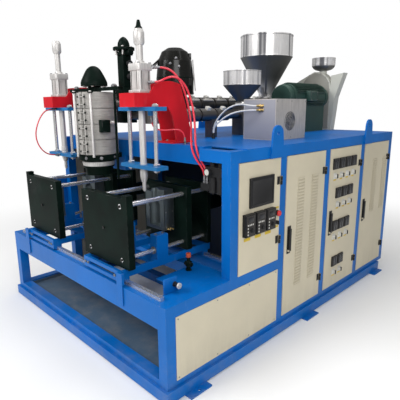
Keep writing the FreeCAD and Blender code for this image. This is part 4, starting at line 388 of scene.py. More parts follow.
def hang_lamp(name, place, aim, size, watts):
    data = bpy.data.lights.new(name, "AREA")
    data.shape = "RECTANGLE"
    data.size, data.size_y = size
    data.energy = watts
    lamp = bpy.data.objects.new(name, data)
    lamp.location = place
    lamp.rotation_mode = "QUATERNION"
    lamp.rotation_quaternion = (Vector(aim) - Vector(place)).to_track_quat("-Z", "Y")
    bpy.context.scene.collection.objects.link(lamp)


def light_world():
    world = bpy.data.worlds.new("pale_studio")
    bpy.context.scene.world = world
    world.use_nodes = True
    tree = world.node_tree
    tree.nodes.clear()
    paths = tree.nodes.new("ShaderNodeLightPath")
    strength = tree.nodes.new("ShaderNodeMapRange")
    strength.inputs["To Min"].default_value = 0.30
    strength.inputs["To Max"].default_value = 1.0
    tree.links.new(paths.outputs["Is Camera Ray"], strength.inputs["Value"])
    background = tree.nodes.new("ShaderNodeBackground")
    background.inputs["Color"].default_value = (1, 1, 1, 1)
    tree.links.new(strength.outputs[0], background.inputs["Strength"])
    out = tree.nodes.new("ShaderNodeOutputWorld")
    tree.links.new(background.outputs[0], out.inputs[0])


# ---- modelling steps
# Pieces are modelled in millimetres and turned by degrees.

AIMS = {"z": (0, 0, 0), "x": (0, 90, 0), "y": (-90, 0, 0), "-z": (180, 0, 0), "-x": (0, -90, 0),
        "-y": (90, 0, 0)}
FACING = 0.9        # a normal with more than this along an axis looks that way
LEVEL = 0.2         # a normal with less than this along z belongs to an upright wall
SMOOTH_BELOW = 35   # degrees between two faces


def metres(values):
    return [value / 1000 for value in values]


def start(kind, name, **settings):
    bpy.ops.object.select_all(action="DESELECT")
    getattr(bpy.ops.mesh, f"primitive_{kind}_add")(**settings)
    piece = bpy.context.object
    piece.name = piece.data.name = name
    return piece


def put(piece, place, turn=(0, 0, 0)):
    piece.rotation_euler = [math.radians(angle) for angle in turn]
    piece.location = metres(place)
    return piece


def take(*pieces):
    bpy.ops.object.select_all(action="DESELECT")
    for piece in pieces:
        piece.select_set(True)
    bpy.context.view_layer.objects.active = pieces[0]


def mode(kind):
    bpy.ops.object.mode_set(mode=kind)


def apply_place():
    bpy.ops.object.transform_apply(location=True, rotation=True, scale=True)


def choose(piece, test=None):
    """Opens a piece for editing with those faces selected whose middle and normal pass the test."""
    take(piece)
    mode("EDIT")
    bpy.ops.mesh.select_mode(type="FACE")
    bpy.ops.mesh.select_all(action="DESELECT" if test else "SELECT")
    if test:
        mode("OBJECT")
        for face in piece.data.polygons:
            face.select = test(face.center, face.normal)
        mode("EDIT")


def close(piece):
    """Leaves editing, with the normals outward, the place applied and the round faces smooth."""
    bpy.ops.mesh.select_all(action="SELECT")
    bpy.ops.mesh.normals_make_consistent(inside=False)
    mode("OBJECT")
    apply_place()
    bpy.ops.object.shade_smooth_by_angle(angle=math.radians(SMOOTH_BELOW))
    return piece


def framed(piece, side, rim, depth=0, rise=0):
    """Draws a frame on the faces that look along a side, and sinks or raises what it encloses."""
    choose(piece, lambda middle, normal: getattr(normal, side) > FACING)
    bpy.ops.mesh.inset(thickness=rim / 1000, depth=depth / 1000)
    if rise:
        lift = [rise / 1000 if axis == side else 0 for axis in "xyz"]
        bpy.ops.mesh.extrude_region_move(TRANSFORM_OT_translate={"value": lift})
    return close(piece)


def block(name, low, high, edge=2, segments=2, upright=0):
    """A block with broken edges; upright rounds its four vertical edges further."""
    middle = [(a + b) / 2000 for a, b in zip(low, high)]
    piece = start("cube", name, size=1, location=middle)
    piece.scale = [(b - a) / 1000 for a, b in zip(low, high)]
    apply_place()
    if upright:
        choose(piece)
        bpy.ops.mesh.select_mode(type="EDGE")
        bpy.ops.mesh.select_all(action="DESELECT")
        mode("OBJECT")
        for line in piece.data.edges:
            a, b = (piece.data.vertices[v].co for v in line.vertices)
            line.select = abs(a.z - b.z) > 1e-5
        mode("EDIT")
        bpy.ops.mesh.bevel(offset=upright / 1000, segments=5, affect="EDGES")
        mode("OBJECT")
    choose(piece)
    bpy.ops.mesh.bevel(offset=edge / 1000, segments=segments, affect="EDGES", clamp_overlap=True)
    return close(piece)


def turned(name, steps, place=(0, 0, 0), aim="z", sides=40):
    """A turned piece: a disc drawn out and resized ring by ring. A step is a radius and a height."""
    radius, height = metres(steps[0])
    piece = start("circle", name, vertices=sides, radius=radius, fill_type="NGON", location=(0, 0, height))
    choose(piece)
    for (wide, low), (wider, high) in zip(steps, steps[1:]):
        bpy.ops.mesh.extrude_region_move(TRANSFORM_OT_translate={"value": (0, 0, (high - low) / 1000)})
        bpy.ops.transform.resize(value=(wider / wide, wider / wide, 1))
    mode("OBJECT")
    apply_place()
    put(piece, place, AIMS.get(aim, aim))
    choose(piece)
    return close(piece)


def joined(name, pieces, place=None, turn=(0, 0, 0)):
    """Makes one piece of several, and moves it if a place is given."""
    take(*pieces)
    if len(pieces) > 1:
        bpy.ops.object.join()
    piece = bpy.context.object
    apply_place()
    if place:
        put(piece, place, turn)
        apply_place()
    piece.name = piece.data.name = name
    return piece


def stamped(name, master, spots, aim="z"):
    """Copies of one piece, joined. A spot is a place, and may end with a turn of its own."""
    copies = []
    for spot in spots:
        copy = master.copy()
        copy.data = master.data.copy()
        put(copy, spot[:3], spot[3] if len(spot) > 3 else AIMS[aim])
        bpy.context.scene.collection.objects.link(copy)
        copies.append(copy)
    return joined(name, copies)


def clear_away(*masters):
    """Takes out pieces that were only there to be copied."""
    for master in masters:
        bpy.data.objects.remove(master)


def fit(piece, finish, body="frame"):
    """Gives a piece its finish and the body that it moves with."""
    piece.data.materials.clear()
    piece.data.materials.append(FINISHES[finish])
    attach(piece, body)
    return piece


def fasten(name, kind, spots, aim="z", finish="fitting_metal", body="frame"):
    """Fits a set of equal screws, bolts or nuts."""
    return fit(stamped(name, SMALL[kind], spots, aim), finish, body)


def polar(x, y, radius, turn):
    return x + radius * math.cos(math.radians(turn)), y + radius * math.sin(math.radians(turn))


def around(x, y, z, radius, count, first=0):
    """Places on a level ring, each turned to point outward."""
    for i in range(count):
        turn = first + i * 360 / count
        yield (*polar(x, y, radius, turn), z, (0, 90, turn))


def ring(*measures):
    """The places of around, with no turn."""
    return [spot[:3] for spot in around(*measures)]


# ---- shared axes, as x and y, and small parts

BLOW_Y = -1130       # the blow units and the die head stand in one line
SHEET_X = 1079      # the outer face of the side sheets and the doors
DIE = (-190, BLOW_Y)
MAIN_HOPPER = (-190, 1060)
SIDE_HOPPER = (150, 235)
DRUM = (-190, -300)
TOWER = (-190, -842)


def make_masters():
    hexagon = turned("hex_head", [(9.8, 1.8), (9.8, 6.5), (8.6, 7.8)], sides=6)
    washer = turned("washer", [(12.5, 0), (12.5, 1.4), (11.9, 1.9)], sides=20)
    return {
        "bolt": joined("bolt", [hexagon, washer]),
        "nut": turned("nut", [(22.5, 0), (24, 1.5), (24, 12.5), (21.5, 14.5), (14.5, 14.5), (14.5, 19),
                              (13, 20.5)], sides=6),
        "socket": turned("socket_screw", [(9, 0), (9, 7.5), (8, 8.8), (4.6, 8.8), (4, 3.5)], sides=16),
        "pan": turned("pan_screw", [(5.2, 0), (5, 1.4), (3.6, 2.6), (1.2, 2.9)], sides=12),
    }


# ---- air hoses and conduits: name, CAD node, finish, diameter, length and route, in metres

HOSES = (
    ("air_hose_cap_line", "air_hose_cap", "red_hose", 0.014, 0.915, (
        (0.4675, -1.0496, 1.9795), (0.5061, -1.0036, 1.9795), (0.54, -0.952, 1.948), (0.568, -0.916, 1.882),
        (0.592, -0.896, 1.796), (0.618, -0.89, 1.7), (0.646, -0.9, 1.606), (0.674, -0.93, 1.522),
        (0.702, -0.955, 1.452), (0.738, -0.959, 1.392), (0.78, -0.951, 1.345), (0.812, -0.9405, 1.294),
        (0.812, -0.9405, 1.24))),
    ("air_hose_arm_line", "air_hose_arm", "red_hose", 0.014, 0.92, (
        (0.4908, -1.1057, 1.88), (0.5468, -1.0907, 1.88), (0.584, -1.072, 1.9), (0.614, -1.035, 1.914),
        (0.635, -0.995, 1.902), (0.65, -0.964, 1.869), (0.662, -0.939, 1.82), (0.68, -0.922, 1.74),
        (0.696, -0.918, 1.65), (0.712, -0.928, 1.562), (0.734, -0.948, 1.482), (0.762, -0.956, 1.416),
        (0.8, -0.95, 1.358), (0.838, -0.9405, 1.296), (0.838, -0.9405, 1.24))),
    ("air_hose_cage_line", "air_hose_cage", "red_hose", 0.01, 0.349, (
        (0.46, -1.095, 1.656), (0.46, -1.095, 1.606), (0.473, -1.068, 1.572), (0.5, -1.022, 1.562),
        (0.532, -0.972, 1.568), (0.5605, -0.9295, 1.566), (0.58, -0.9, 1.533), (0.58, -0.9, 1.485))),
    ("air_hose_left_line", "air_hose_left", "red_hose", 0.01, 0.597, (
        (-0.755, -1.2, 1.709), (-0.755, -1.26, 1.709), (-0.755, -1.314, 1.664), (-0.755, -1.356, 1.592),
        (-0.755, -1.382, 1.506), (-0.755, -1.37, 1.42), (-0.755, -1.325, 1.352), (-0.755, -1.262, 1.318),
        (-0.755, -1.2, 1.318))),
    ("cooler_conduit_high", "cooler_conduit", "white_hose", 0.013, 0.583, (
        (0.6767, -0.1928, 1.722), (0.6321, -0.2329, 1.722), (0.558, -0.258, 1.738), (0.48, -0.268, 1.728),
        (0.405, -0.27, 1.698), (0.338, -0.27, 1.65), (0.284, -0.269, 1.594), (0.25, -0.268, 1.532),
        (0.25, -0.268, 1.476))),
    ("cooler_conduit_low", "cooler_conduit", "white_hose", 0.013, 0.505, (
        (0.6767, -0.1928, 1.69), (0.6321, -0.2329, 1.69), (0.568, -0.276, 1.684), (0.5, -0.302, 1.668),
        (0.434, -0.316, 1.638), (0.376, -0.322, 1.598), (0.338, -0.324, 1.574), (0.31, -0.324, 1.532),
        (0.31, -0.324, 1.476))),
)


def lay_hoses():
    for name, node, finish, width, length, route in HOSES:
        curve = bpy.data.curves.new(name, "CURVE")
        curve.dimensions = "3D"
        curve.bevel_depth = width / 2
        curve.bevel_resolution = 6
        curve.resolution_u = 14
        curve.use_fill_caps = True
        line = curve.splines.new("NURBS")
        line.points.add(len(route) - 1)
        for point, place in zip(line.points, route):
            point.co = (*place, 1)
        line.order_u = 3
        line.use_endpoint_u = True
        hose = bpy.data.objects.new(name, curve)
        bpy.context.scene.collection.objects.link(hose)
        curve.materials.append(FINISHES[finish])
        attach(hose, "frame")
        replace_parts(hose, node)


def fit_hose_ends():
    """Push-in fittings, each with a tapered sleeve over the first of its hose."""
    sleeve = [(12, 0), (12, 10), (9.8, 12), (9.8, 18), (11, 20), (11, 26), (9.2, 30), (8.2, 52)]
    thin = [(radius * 0.76, high * 0.9) for radius, high in sleeve]
    ends = [turned("cap_port_fitting", sleeve, (451.4, -1068.8, 1979.5), (0, 90, 50), 24),
            turned("arm_port_fitting", sleeve, (466.6, -1112.2, 1880), (0, 90, 15), 24),
            turned("manifold_fitting_a", sleeve, (812, -940.5, 1224.5), sides=24),
            turned("manifold_fitting_b", sleeve, (838, -940.5, 1224.5), sides=24),
            turned("cage_port_fitting", thin, (460, -1095, 1664.5), "-z", 24),
            turned("beam_gland", thin, (580, -900, 1465.5), sides=24),
            turned("left_port_fitting_a", thin, (-755, -1179.5, 1709), "-y", 24),
            turned("left_port_fitting_b", thin, (-755, -1179.5, 1318), "-y", 24)]
    fit(joined("air_fittings", ends), "fitting_metal")
    gland = [(12.5, 0), (12.5, 12), (10, 14), (10, 19), (9, 24), (7.6, 48)]
    glands = [turned("deck_gland_a", gland, (250, -268, 1456), sides=20),
              turned("deck_gland_b", gland, (310, -324, 1456), sides=20)]
    fit(joined("deck_glands", glands), "hinge_black")
    brass = [(13.5, 0), (13.5, 8), (10.5, 10), (10.5, 20), (12.5, 22), (12.5, 34), (9.5, 38), (8, 56)]
    tails = [turned(f"conduit_fitting_{i}", brass, (704.2, -168, z), (0, 90, 222), 20)
             for i, z in enumerate((1722, 1690))]
    fit(joined("conduit_fittings", tails), "brass")


# ---- blow units

def build_blow_units():
    for tag, x, lift in (("right", 400, 0), ("left", -755, 49)):
        foot = block("cylinder_foot", (-62, -62, 1812), (62, 62, 1832), 2, 2, 14)
        tube = block("cylinder_tube", (-52.5, -52.5, 1832), (52.5, 52.5, 1957), 1, 1, 19)
        near, rim, sunk = metres((4, 21, 5))
        choose(tube, lambda middle, normal: abs(normal.z) < LEVEL and min(abs(middle.x), abs(middle.y)) < near)
        bpy.ops.mesh.inset(thickness=rim, depth=-sunk, use_individual=True)
        close(tube)
        lid = block("cylinder_lid", (-60, -60, 1957), (60, 60, 2001), 3, 3, 16)
        boss = turned("cylinder_boss", [(46, 2000), (46, 2004), (33, 2008), (29, 2020), (24.5, 2022)])
        body = fit(joined(f"blow_cylinder_{tag}", [foot, tube, lid, boss], (x, BLOW_Y, 0)), "cylinder_alloy")
        if tag == "right":
            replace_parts(body, "blow_cylinders")
        # painted shade: black strips laid in the profile's grooves stand in for the shade inside them
        groove_shade_strip = block("groove_shade_strip", (-1.8, -60, -0.8), (1.8, 60, 1), 0.4, 1)
        lines = [(x + dx, BLOW_Y + side * 52.5, 1894, (90, 0, 0)) for side in (-1, 1) for dx in (-29.5, 29.5)]
        lines += [(x + side * 52.5, BLOW_Y + dy, 1894, (90, 0, 90)) for side in (-1, 1) for dy in (-29.5, 29.5)]
        fit(stamped(f"cylinder_groove_shade_strips_{tag}", groove_shade_strip, lines), "black_steel")
        clear_away(groove_shade_strip)
        pin = turned(f"blow_spindle_{tag}", [
            (6, 1137), (13, 1150), (13, 1205), (17, 1206), (27, 1246), (27, 1292), (25.5, 1294), (25.5, 1299),
            (27, 1301), (27, 1335), (23, 1336), (23, 2117), (28.5, 2119), (36, 2134), (36, 2196),
            (34.5, 2200), (25.5, 2220)], (x, BLOW_Y, lift), sides=32)
        fit(pin, "cylinder_alloy", body=f"blow_{tag}")
        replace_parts(pin, f"blow_pin_{tag}")
        if tag == "right":
            tip = turned("spindle_tip", [(25.2, 2219.5), (25.2, 2226), (17, 2236), (12, 2262), (8, 2274)],
                         (x, BLOW_Y, 0), sides=24)
            fit(tip, "black_steel", body=f"blow_{tag}")
        screws = [(x + dx, BLOW_Y + dy, 2000.5) for dy in (46, -46) for dx in (46, -46)]
        fasten(f"cylinder_screws_{tag}", "socket", screws)
        nuts = [(x + dx, BLOW_Y, z) for dx in (-145, 145) for z in (1722.5, 1331.5)]
        under = [(x + dx, BLOW_Y, 1304.5, AIMS["-z"]) for dx in (-145, 145)]
        fasten(f"cage_nuts_{tag}", "nut", nuts + under, finish="polished_steel")
        fasten(f"arm_foot_bolts_{tag}", "bolt", [(x + dx, y, 1476.8) for dx in (-56, 56) for y in (-865, -765)])


# ---- die head

def build_die_head():
    base = (*DIE, 0)
    ears, ends = [], []
    for k in range(4):
        z = 1367 + k * 116.8
        for y0 in (-26, 12):
            ears.append(block("band_ear", (144, y0, z + 6), (155.5, y0 + 14, z + 104), 1.5))
        for dz in (26, 82):
            ears.append(turned("band_bolt", [(3.5, 0), (3.5, 66)], (156, -33, z + dz), "y", 8))
            for y0 in (-37.5, 26.5):
                ends.append(turned("bolt_end", [(6, 0), (7.2, 1), (7.2, 9), (5.5, 11)],
                                   (156, y0, z + dz), "y", 8))
    seam_line = block("seam_line", (144, -1.5, 1368), (149.5, 1.5, 1836), 0.5, 1)
    seam_turn, box_turn = (0, 0, -72), (0, 0, -10)
    fit(joined("head_band_ears", ears, base, seam_turn), "head_steel")
    fit(joined("head_band_bolts", [*ends, seam_line], base, seam_turn), "black_steel")
    rods, lugs = [], []
    for turn in (-103, -43, 77, 137):
        rod = turned("head_rod", [(10, 1350), (10, 1839), (8.5, 1842)], (160.5, 0, 0), sides=20)
        lug = block("head_lug", (90, -16, 1826), (176, 16, 1835), 2)
        rods.append(put(rod, base, (0, 0, turn)))
        lugs.append(put(lug, base, (0, 0, turn)))
    fit(joined("head_rods", rods), "cylinder_alloy")
    fit(joined("head_lugs", lugs), "black_steel")
    box = block("terminal_box", (138, -37, 1536), (188, 37, 1630), 4, 3)
    framed(box, "x", 6, rise=4)
    plug = turned("terminal_plug", [(11, 0), (11, 12), (17, 14), (17, 34), (12, 36), (11, 52), (7, 60)],
                  (166, 36, 1604), "y", 20)
    fit(joined("terminal_box", [box], base, box_turn), "black_steel")
    fit(joined("terminal_plug", [plug], base, box_turn), "cylinder_alloy")
    seams = [turned("band_seam", [(148.8, z), (148.8, z + 3), (147, z + 4)], base, sides=64)
             for z in (1424, 1541, 1658, 1775)]
    fit(joined("head_band_seams", seams), "head_steel")
    bell = turned("cap_bell", [
        (100.6, 1893), (100.6, 1902), (96.5, 1918), (88.5, 1936), (79, 1955), (69, 1974), (59, 1992),
        (49, 2006), (34, 2019), (18, 2027), (4, 2029)], base, sides=48)
    fit(bell, "black_steel")
    fasten("cap_nuts", "bolt", ring(*DIE, 1880.5, 83, 6, 20), "-z", "cylinder_alloy")
    collar = turned("die_collar", [(118, 1270), (121.5, 1272), (126.5, 1296), (126.5, 1306), (123, 1309)],
                    base, sides=64)
    fit(collar, "cylinder_alloy")
    fasten("ring_bolts", "bolt", around(*DIE, 1341, 152.5, 8, 22))
    fasten("yoke_nuts", "nut", [(DIE[0] + dx, DIE[1], 1867) for dx in (-270, 270)])


# ---- clamp stations

def build_stations():
    for tag, cx, side in (("right", 400, 1), ("left", -530, -1)):
        plate_body, rear_body, cart = f"clamp_front_{tag}", f"clamp_rear_{tag}", f"shuttle_{tag}"
        corners = ((-195, 1119), (195, 1119), (-192, 766), (192, 766))
        screws = [(cx + dx, -1475.2, z) for dx, z in (*corners, (0, 945))]
        fasten(f"platen_screws_{tag}", "socket", screws, "-y", "gloss_black", plate_body)
        nuts = [(cx + dx, -703.8, z) for dx, z in corners]
        fasten(f"bar_nuts_{tag}", "nut", nuts, "y", body=plate_body)
        rings = [turned("cylinder_ring", [(59.6, 0), (60.6, 2), (60.6, 14), (59.6, 16)], (cx, y, 945), "y", 48)
                 for y in (-703.5, -375.5)]
        fit(joined(f"clamp_cylinder_rings_{tag}", rings), "fitting_metal", body=plate_body)
        wall = cx + side * 103
        cover = block(f"mould_side_cover_{tag}", (wall - 3, -1036, 862), (wall + 3, -958, 1098), 1.5)
        fit(cover, "mould_steel", body=rear_body)
        aim = "x" if side > 0 else "-x"
        bolts = [(wall + side * 3, y, z) for y in (-1028, -966) for z in (872, 980, 1088)]
        fasten(f"mould_bolts_{tag}", "pan", bolts, aim, body=rear_body)
        nipple = turned("nipple", [(8.5, 0), (8.5, 8), (6, 10), (6, 20), (7.2, 22), (5.5, 30)], sides=14)
        spots = [(wall, y, 853) for y in (-1010, -984)]
        fit(stamped(f"mould_nipples_{tag}", nipple, spots, aim), "brass", rear_body)
        clear_away(nipple)
        bushes = [turned("bush", [(26, 0), (26, 7), (24, 9), (15, 9)], (cx + dx, -1214.8, 766), "-y", 28)
                  for dx in (-192, 192)]
        fit(joined(f"bearing_bushes_{tag}", bushes), "fitting_metal", body=cart)
        tops = [(cx + dx, y, 872) for dx in (-190, 190) for y in (-1195, -1135)]
        fasten(f"bearing_bolts_{tag}", "bolt", tops, body=cart)
        face = [(cx + dx, -1515.2, 668) for dx in (-200, -165, 165, 200)]
        fasten(f"carriage_bolts_{tag}", "socket", face, "-y", body=cart)


# ---- doors and instruments

def build_doors():
    glass = block("screen_glass", (1086.2, -781.5, 1084.5), (1088.6, -556.5, 1247.5), 0.8)
    fit(glass, "screen_glass", "door_control")
    lip = block("screen_lip", (1089.5, -797, 1069), (1092.5, -541, 1263), 1.2)
    fit(framed(lip, "x", 17, -3.5), "hinge_black", body="door_control")
    keypads, windows, keys, knobs, strips = [], [], [], [], []
    for i in range(3):
        y = -864 + i * 114.9
        pad = block("drive_face", (1108.5, y + 8, 890), (1112, y + 92, 1028), 1.2)
        keypads.append(framed(pad, "x", 4, -1))
        windows.append(block("drive_window", (1110.5, y + 22, 984), (1112.8, y + 78, 1016), 0.8))
        keys += [(1110.8, y + 20 + 17 * k, 966) for k in range(4)]
        keys += [(1110.8, y + 20, z) for z in (944, 922, 902)]
        knobs.append(turned("drive_knob", [(18.5, 0), (18.5, 3), (15, 5), (14, 15), (12.5, 16.5)],
                            (1110.8, y + 60, 925), "x", 24))
        strips.append(block("drive_strip", (1078.8, y + 16, 846), (1080.2, y + 84, 868), 0.4, 1))
    for name, pieces, finish, slot in (
            ("drive_faces", keypads, "panel_grey", "hinge_black"),
            ("drive_windows", windows, "screen_glass", "hinge_black"),
            ("drive_knobs", knobs, "hinge_black", None),
            ("drive_strips", strips, "yellow_strip", "cream_paint")):
        fit(joined(name, pieces), finish, "door_control")
    key = block("key", (-5.5, -4.5, 0), (5.5, 4.5, 2.2), 1)
    fit(stamped("drive_keys", key, keys, "x"), "pale_plastic", "door_control")
    stop_strips = [block("stop_strip", (1078.8, -507, z), (1080.2, -463, z + 14), 0.4, 1) for z in (1012, 872)]
    fit(joined("stop_strips", stop_strips), "yellow_strip", "door_control")
    clear_away(key)
    banks = ((4, 349, 1245), (3, 421, 990), (3, 391, 700), (2, 426, 365))
    centres = [(y + 108.1 * k, z) for count, y, z in banks for k in range(count)]
    bezel = framed(block("bezel", (-43.5, -43.5, 0), (43.5, 43.5, 4.5), 1.5), "z", 5, -1.2)
    window = block("window", (-36, -15, 0), (36, 15, 2.2), 0.7)
    plate = block("plate", (-26, -26, 0), (26, 26, 2.8), 1)
    disc = turned("disc", [(19.5, 0), (19.5, 4), (16.5, 6), (15.8, 18.5), (14.5, 20)], sides=28)
    lever = block("lever", (-17.5, -5, 0), (17.5, 5, 12), 1.8)
    mark = block("mark", (-6, -22, 0), (6, 22, 1.2), 0.4, 1)
    for name, piece, offsets, finish, slot in (
            ("controller_bezels", bezel, [(1088.5, 0, 0)], "panel_grey", "hinge_black"),
            ("controller_windows", window, [(1091.5, -18, 0), (1091.5, 18, 0)], "screen_glass", "hinge_black"),
            ("switch_plates", plate, [(SHEET_X, 0, -103)], "pale_plastic", "hinge_black"),
            ("switch_discs", disc, [(1081, 0, -103)], "pale_plastic", "hinge_black"),
            ("switch_levers", lever, [(1096, 0, -103)], "hinge_black", None),
            ("switch_strips", mark, [(SHEET_X, 0, -137)], "yellow_strip", "cream_paint")):
        spots = [(x, y + dy, z + dz) for y, z in centres for x, dy, dz in offsets]
        fit(stamped(name, piece, spots, "x"), finish, "door_controller")
        clear_away(piece)
    hood = block("hood", (-5.5, -47, -0.5), (5.5, 47, 5), 1.6)
    choose(hood, lambda middle, normal: normal.z > FACING)
    bpy.ops.transform.translate(value=metres((-2.2, 0, 0)))
    close(hood)
    for door, columns, low, count in (("louvre", (-172.5, 24.9), 338, 36), ("rear", (1148.4, 1369.1), 690, 22)):
        rows = [(1078.5, y, low + 12.5 + 24 * k) for y in columns for k in range(count)]
        fit(stamped(f"{door}_louvre_hoods", hood, rows, "x"), "cream_paint", body=f"door_{door}")
    clear_away(hood)
    sleeve = turned("sleeve", [(8, 0), (8.8, 1), (8.8, 27.5), (8, 28.5)], sides=20)
    for door, y, low in (("control", -451, 779), ("louvre", 177, 293), ("controller", 821, 293),
                         ("rear", 1447, 293)):
        high = 1212
        leaves = [block("hinge_leaf", (SHEET_X, y - 40, z - 28), (1083, y - 12, z + 29), 1)
                  for z in (low, high)]
        sleeves = stamped("sleeves", sleeve, [(1088, y, low), (1088, y, high)])
        fit(joined(f"{door}_hinge_sleeves", [sleeves, *leaves]), "hinge_black", body=f"door_{door}")
    clear_away(sleeve)
    for door, y in (("louvre", -315), ("controller", 313), ("rear", 957)):
        back = block(f"{door}_handle_plate", (1078.8, y - 24, 628), (1080.6, y + 24, 846), 0.8)
        fit(back, "hinge_black", body=f"door_{door}")
    heights = (145, 750, 1360)
    sheet = [(SHEET_X, y, z) for y in (-1435, -1100, -780, -470) for z in (142, 523)]
    fasten("lower_sheet_screws", "pan", sheet, "x")
    left = [(-SHEET_X, y, z) for low, high in ((-895, -455), (-365, 170), (265, 815), (910, 1440))
            for y in (low, (low + high) / 2, high) for z in heights]
    fasten("left_sheet_screws", "pan", left, "-x")
    back = [(x, 1529, z) for x in (-970, -485, 0, 485, 970) for z in heights]
    fasten("rear_sheet_screws", "pan", back, "y")


# ---- hoppers, drive and cooler on the deck

def build_hoppers():
    main = turned("main_hopper_sheet", [
        (104, 0), (104, 10), (72.5, 11), (70.5, 40), (284, 428), (287.5, 432), (287.5, 440), (285, 443),
        (285, 644), (287.8, 647), (287.8, 658), (285, 661), (280, 661), (280, 434), (66.5, 43),
        (66.5, 2)], (*MAIN_HOPPER, 1810), sides=96)
    fit(main, "hopper_steel")
    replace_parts(main, "main_hopper")
    side = turned("side_hopper_sheet", [
        (66, 0), (66, 8), (46, 9), (45, 20), (175, 168), (177.5, 171), (177.5, 176), (175, 178), (175, 290),
        (177.8, 292), (177.8, 298), (170, 299), (170, 173), (41, 22), (41, 2)], (*SIDE_HOPPER, 1741), sides=80)
    bowl = turned("bowl_sheet", [
        (40, 0), (60, 3), (86, 11), (104, 22), (116, 36), (123, 52), (125, 70), (125, 128), (125.9, 130),
        (125.9, 134), (121, 134), (121, 70), (112, 40), (84, 16), (36, 6)], (285, 1475, 2095), sides=64)
    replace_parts(fit(joined("small_hopper_sheets", [side, bowl]), "hopper_steel"), "small_hoppers")
    seams = []
    for x, y, radius, low, high, turn in ((*MAIN_HOPPER, 285, 2256, 2452, -20),
                                          (*SIDE_HOPPER, 175, 1922, 2028, -80)):
        strap = block("hopper_seam", (radius - 2, -12, low), (radius + 1.5, 12, high), 0.6, 1)
        seams.append(put(strap, (x, y, 0), (0, 0, turn)))
    strip = block("cone_seam", (-1.5, -9, 0), (1.5, 9, 440), 0.6, 1)
    slope = math.degrees(math.atan2(214, 388))
    seams.append(put(strip, (*polar(*MAIN_HOPPER, 73.5, -52), 1851.5), (0, slope, -52)))
    fit(joined("hopper_seams", seams), "hopper_steel")
    fasten("hopper_bolts", "bolt", ring(*MAIN_HOPPER, 1820, 90, 8) + ring(*SIDE_HOPPER, 1749, 56, 6))


def build_drive():
    x, y, z = 300, 1020, 1808
    fin = block("fin", (-2.2, -265, 122), (2.2, 265, 141.5), 0.8, 1)
    ribs = [(x, y, z, (0, turn, 0)) for turn in range(-128, 130, 8) if not 78 < turn < 104]
    fit(stamped("motor_fins", fin, ribs), "motor_green")
    clear_away(fin)
    cowl = turned("motor_cowl", [(100, 0), (112, 6), (120, 20), (120, 58), (112, 64)], (x, 660, z), "y", 48)
    flange = turned("motor_flange", [(134, 0), (136, 3), (136, 18), (134, 21)], (x, 1300, z), "y", 48)
    box = block("motor_box", (418, 900, 1765), (482, 1040, 1865), 6, 3)
    framed(box, "x", 8, rise=5)
    fit(joined("motor_shell", [cowl, flange, box]), "motor_green")
    lid = [(486.5, y0, z0) for y0 in (915, 1025) for z0 in (1780, 1850)]
    fasten("motor_lid_screws", "pan", lid, "x")
    face = block("guard_face", (74, 1425.5, 1468), (398, 1430.5, 1900), 1.5)
    disc = turned("guard_disc", [(166, 0), (166, 3.5), (162, 6), (60, 7.5), (58, 4)],
                  (226, 1431, 1905), "-y", 64)
    low = turned("guard_small_disc", [(100, 0), (100, 3.5), (96, 6), (40, 7)], (-190, 1431, 1780), "-y", 48)
    # the front faces take the painted-shade copy of the guard enamel
    fit(joined("guard_faces", [face, disc, low]), "guard_shade")
    edge = [polar(1905, 226, 172, turn) for turn in range(-30, 121, 25)]
    edge += [(z, 398) for z in (1480, 1620, 1760)]
    fasten("guard_screws", "pan", [(x, 1430.5, z) for z, x in edge], "-y")
    fit(block("gear_cover", (-24, 1195, 1520), (-12, 1355, 1840), 3), "gear_grey")
    bolts = [(-12.5, gy, gz) for gy in (1207, 1343) for gz in (1535, 1680, 1825)]
    fasten("gear_bolts", "bolt", bolts, "x")
    plug = turned("gear_filler", [(16, 0), (16, 12), (20, 14), (20, 34), (17, 38)], (-90, 1220, 1875), sides=8)
    fit(plug, "fitting_metal")
    bands = [-675 + 190 * i for i in range(2)] + [-125 + 190 * i for i in range(6)]
    x, z, lock_turn, cap_turn = -190, 1735, (0, -38, 0), (0, 24, 0)
    band_lock = block("band_lock", (66, -70, -11), (83, 70, 11))
    fit(stamped("barrel_band_locks", band_lock, [(x, y, z, lock_turn) for y in bands]), "head_steel")
    cap = block("band_terminal", (-18, -22, 64), (18, 22, 94), 4, 3)
    caps = [(x, y, z, cap_turn) for y in bands]
    caps += [(150, -637 + 190 * i, 1633, cap_turn) for i in range(4)]
    fit(stamped("band_terminals", cap, caps), "pale_plastic")
    clear_away(band_lock, cap)


def build_cooler():
    panel = block("cooler_side_panel", (514, -172.2, 1463), (818, -169.8, 1768), 0.8)
    fit(panel, "pale_sheet")
    trims = [block("cooler_trim", (506.5, -170.5, z), (825.5, 260.5, z + 8), 1.5) for z in (1456.5, 1766.5)]
    fit(joined("cooler_trims", trims), "cooler_steel")
    screws = [(825, y, z) for y in (-158, 45, 248) for z in (1474, 1758)]
    fasten("cooler_screws", "pan", screws, "x")
    wires, centre, flattened = [], (826.2, 28, 1602), 0.7
    for i in range(6):
        wide, thick = metres((14 + 11.5 * i, 2.3))
        wire = start("torus", "guard_ring", major_radius=wide, minor_radius=thick, major_segments=40,
                     minor_segments=8)
        choose(wire)
        bpy.ops.transform.resize(value=(1, 1, flattened))
        wires.append(put(close(wire), centre, AIMS["x"]))
    for turn in range(22, 180, 45):
        spoke = block("guard_spoke", (-1.5, -73.5, -1.8), (1.2, 73.5, 1.8), 0.5, 1)
        wires.append(put(spoke, centre, (turn, 0, 0)))
    fit(joined("fan_guard", wires), "fitting_metal")


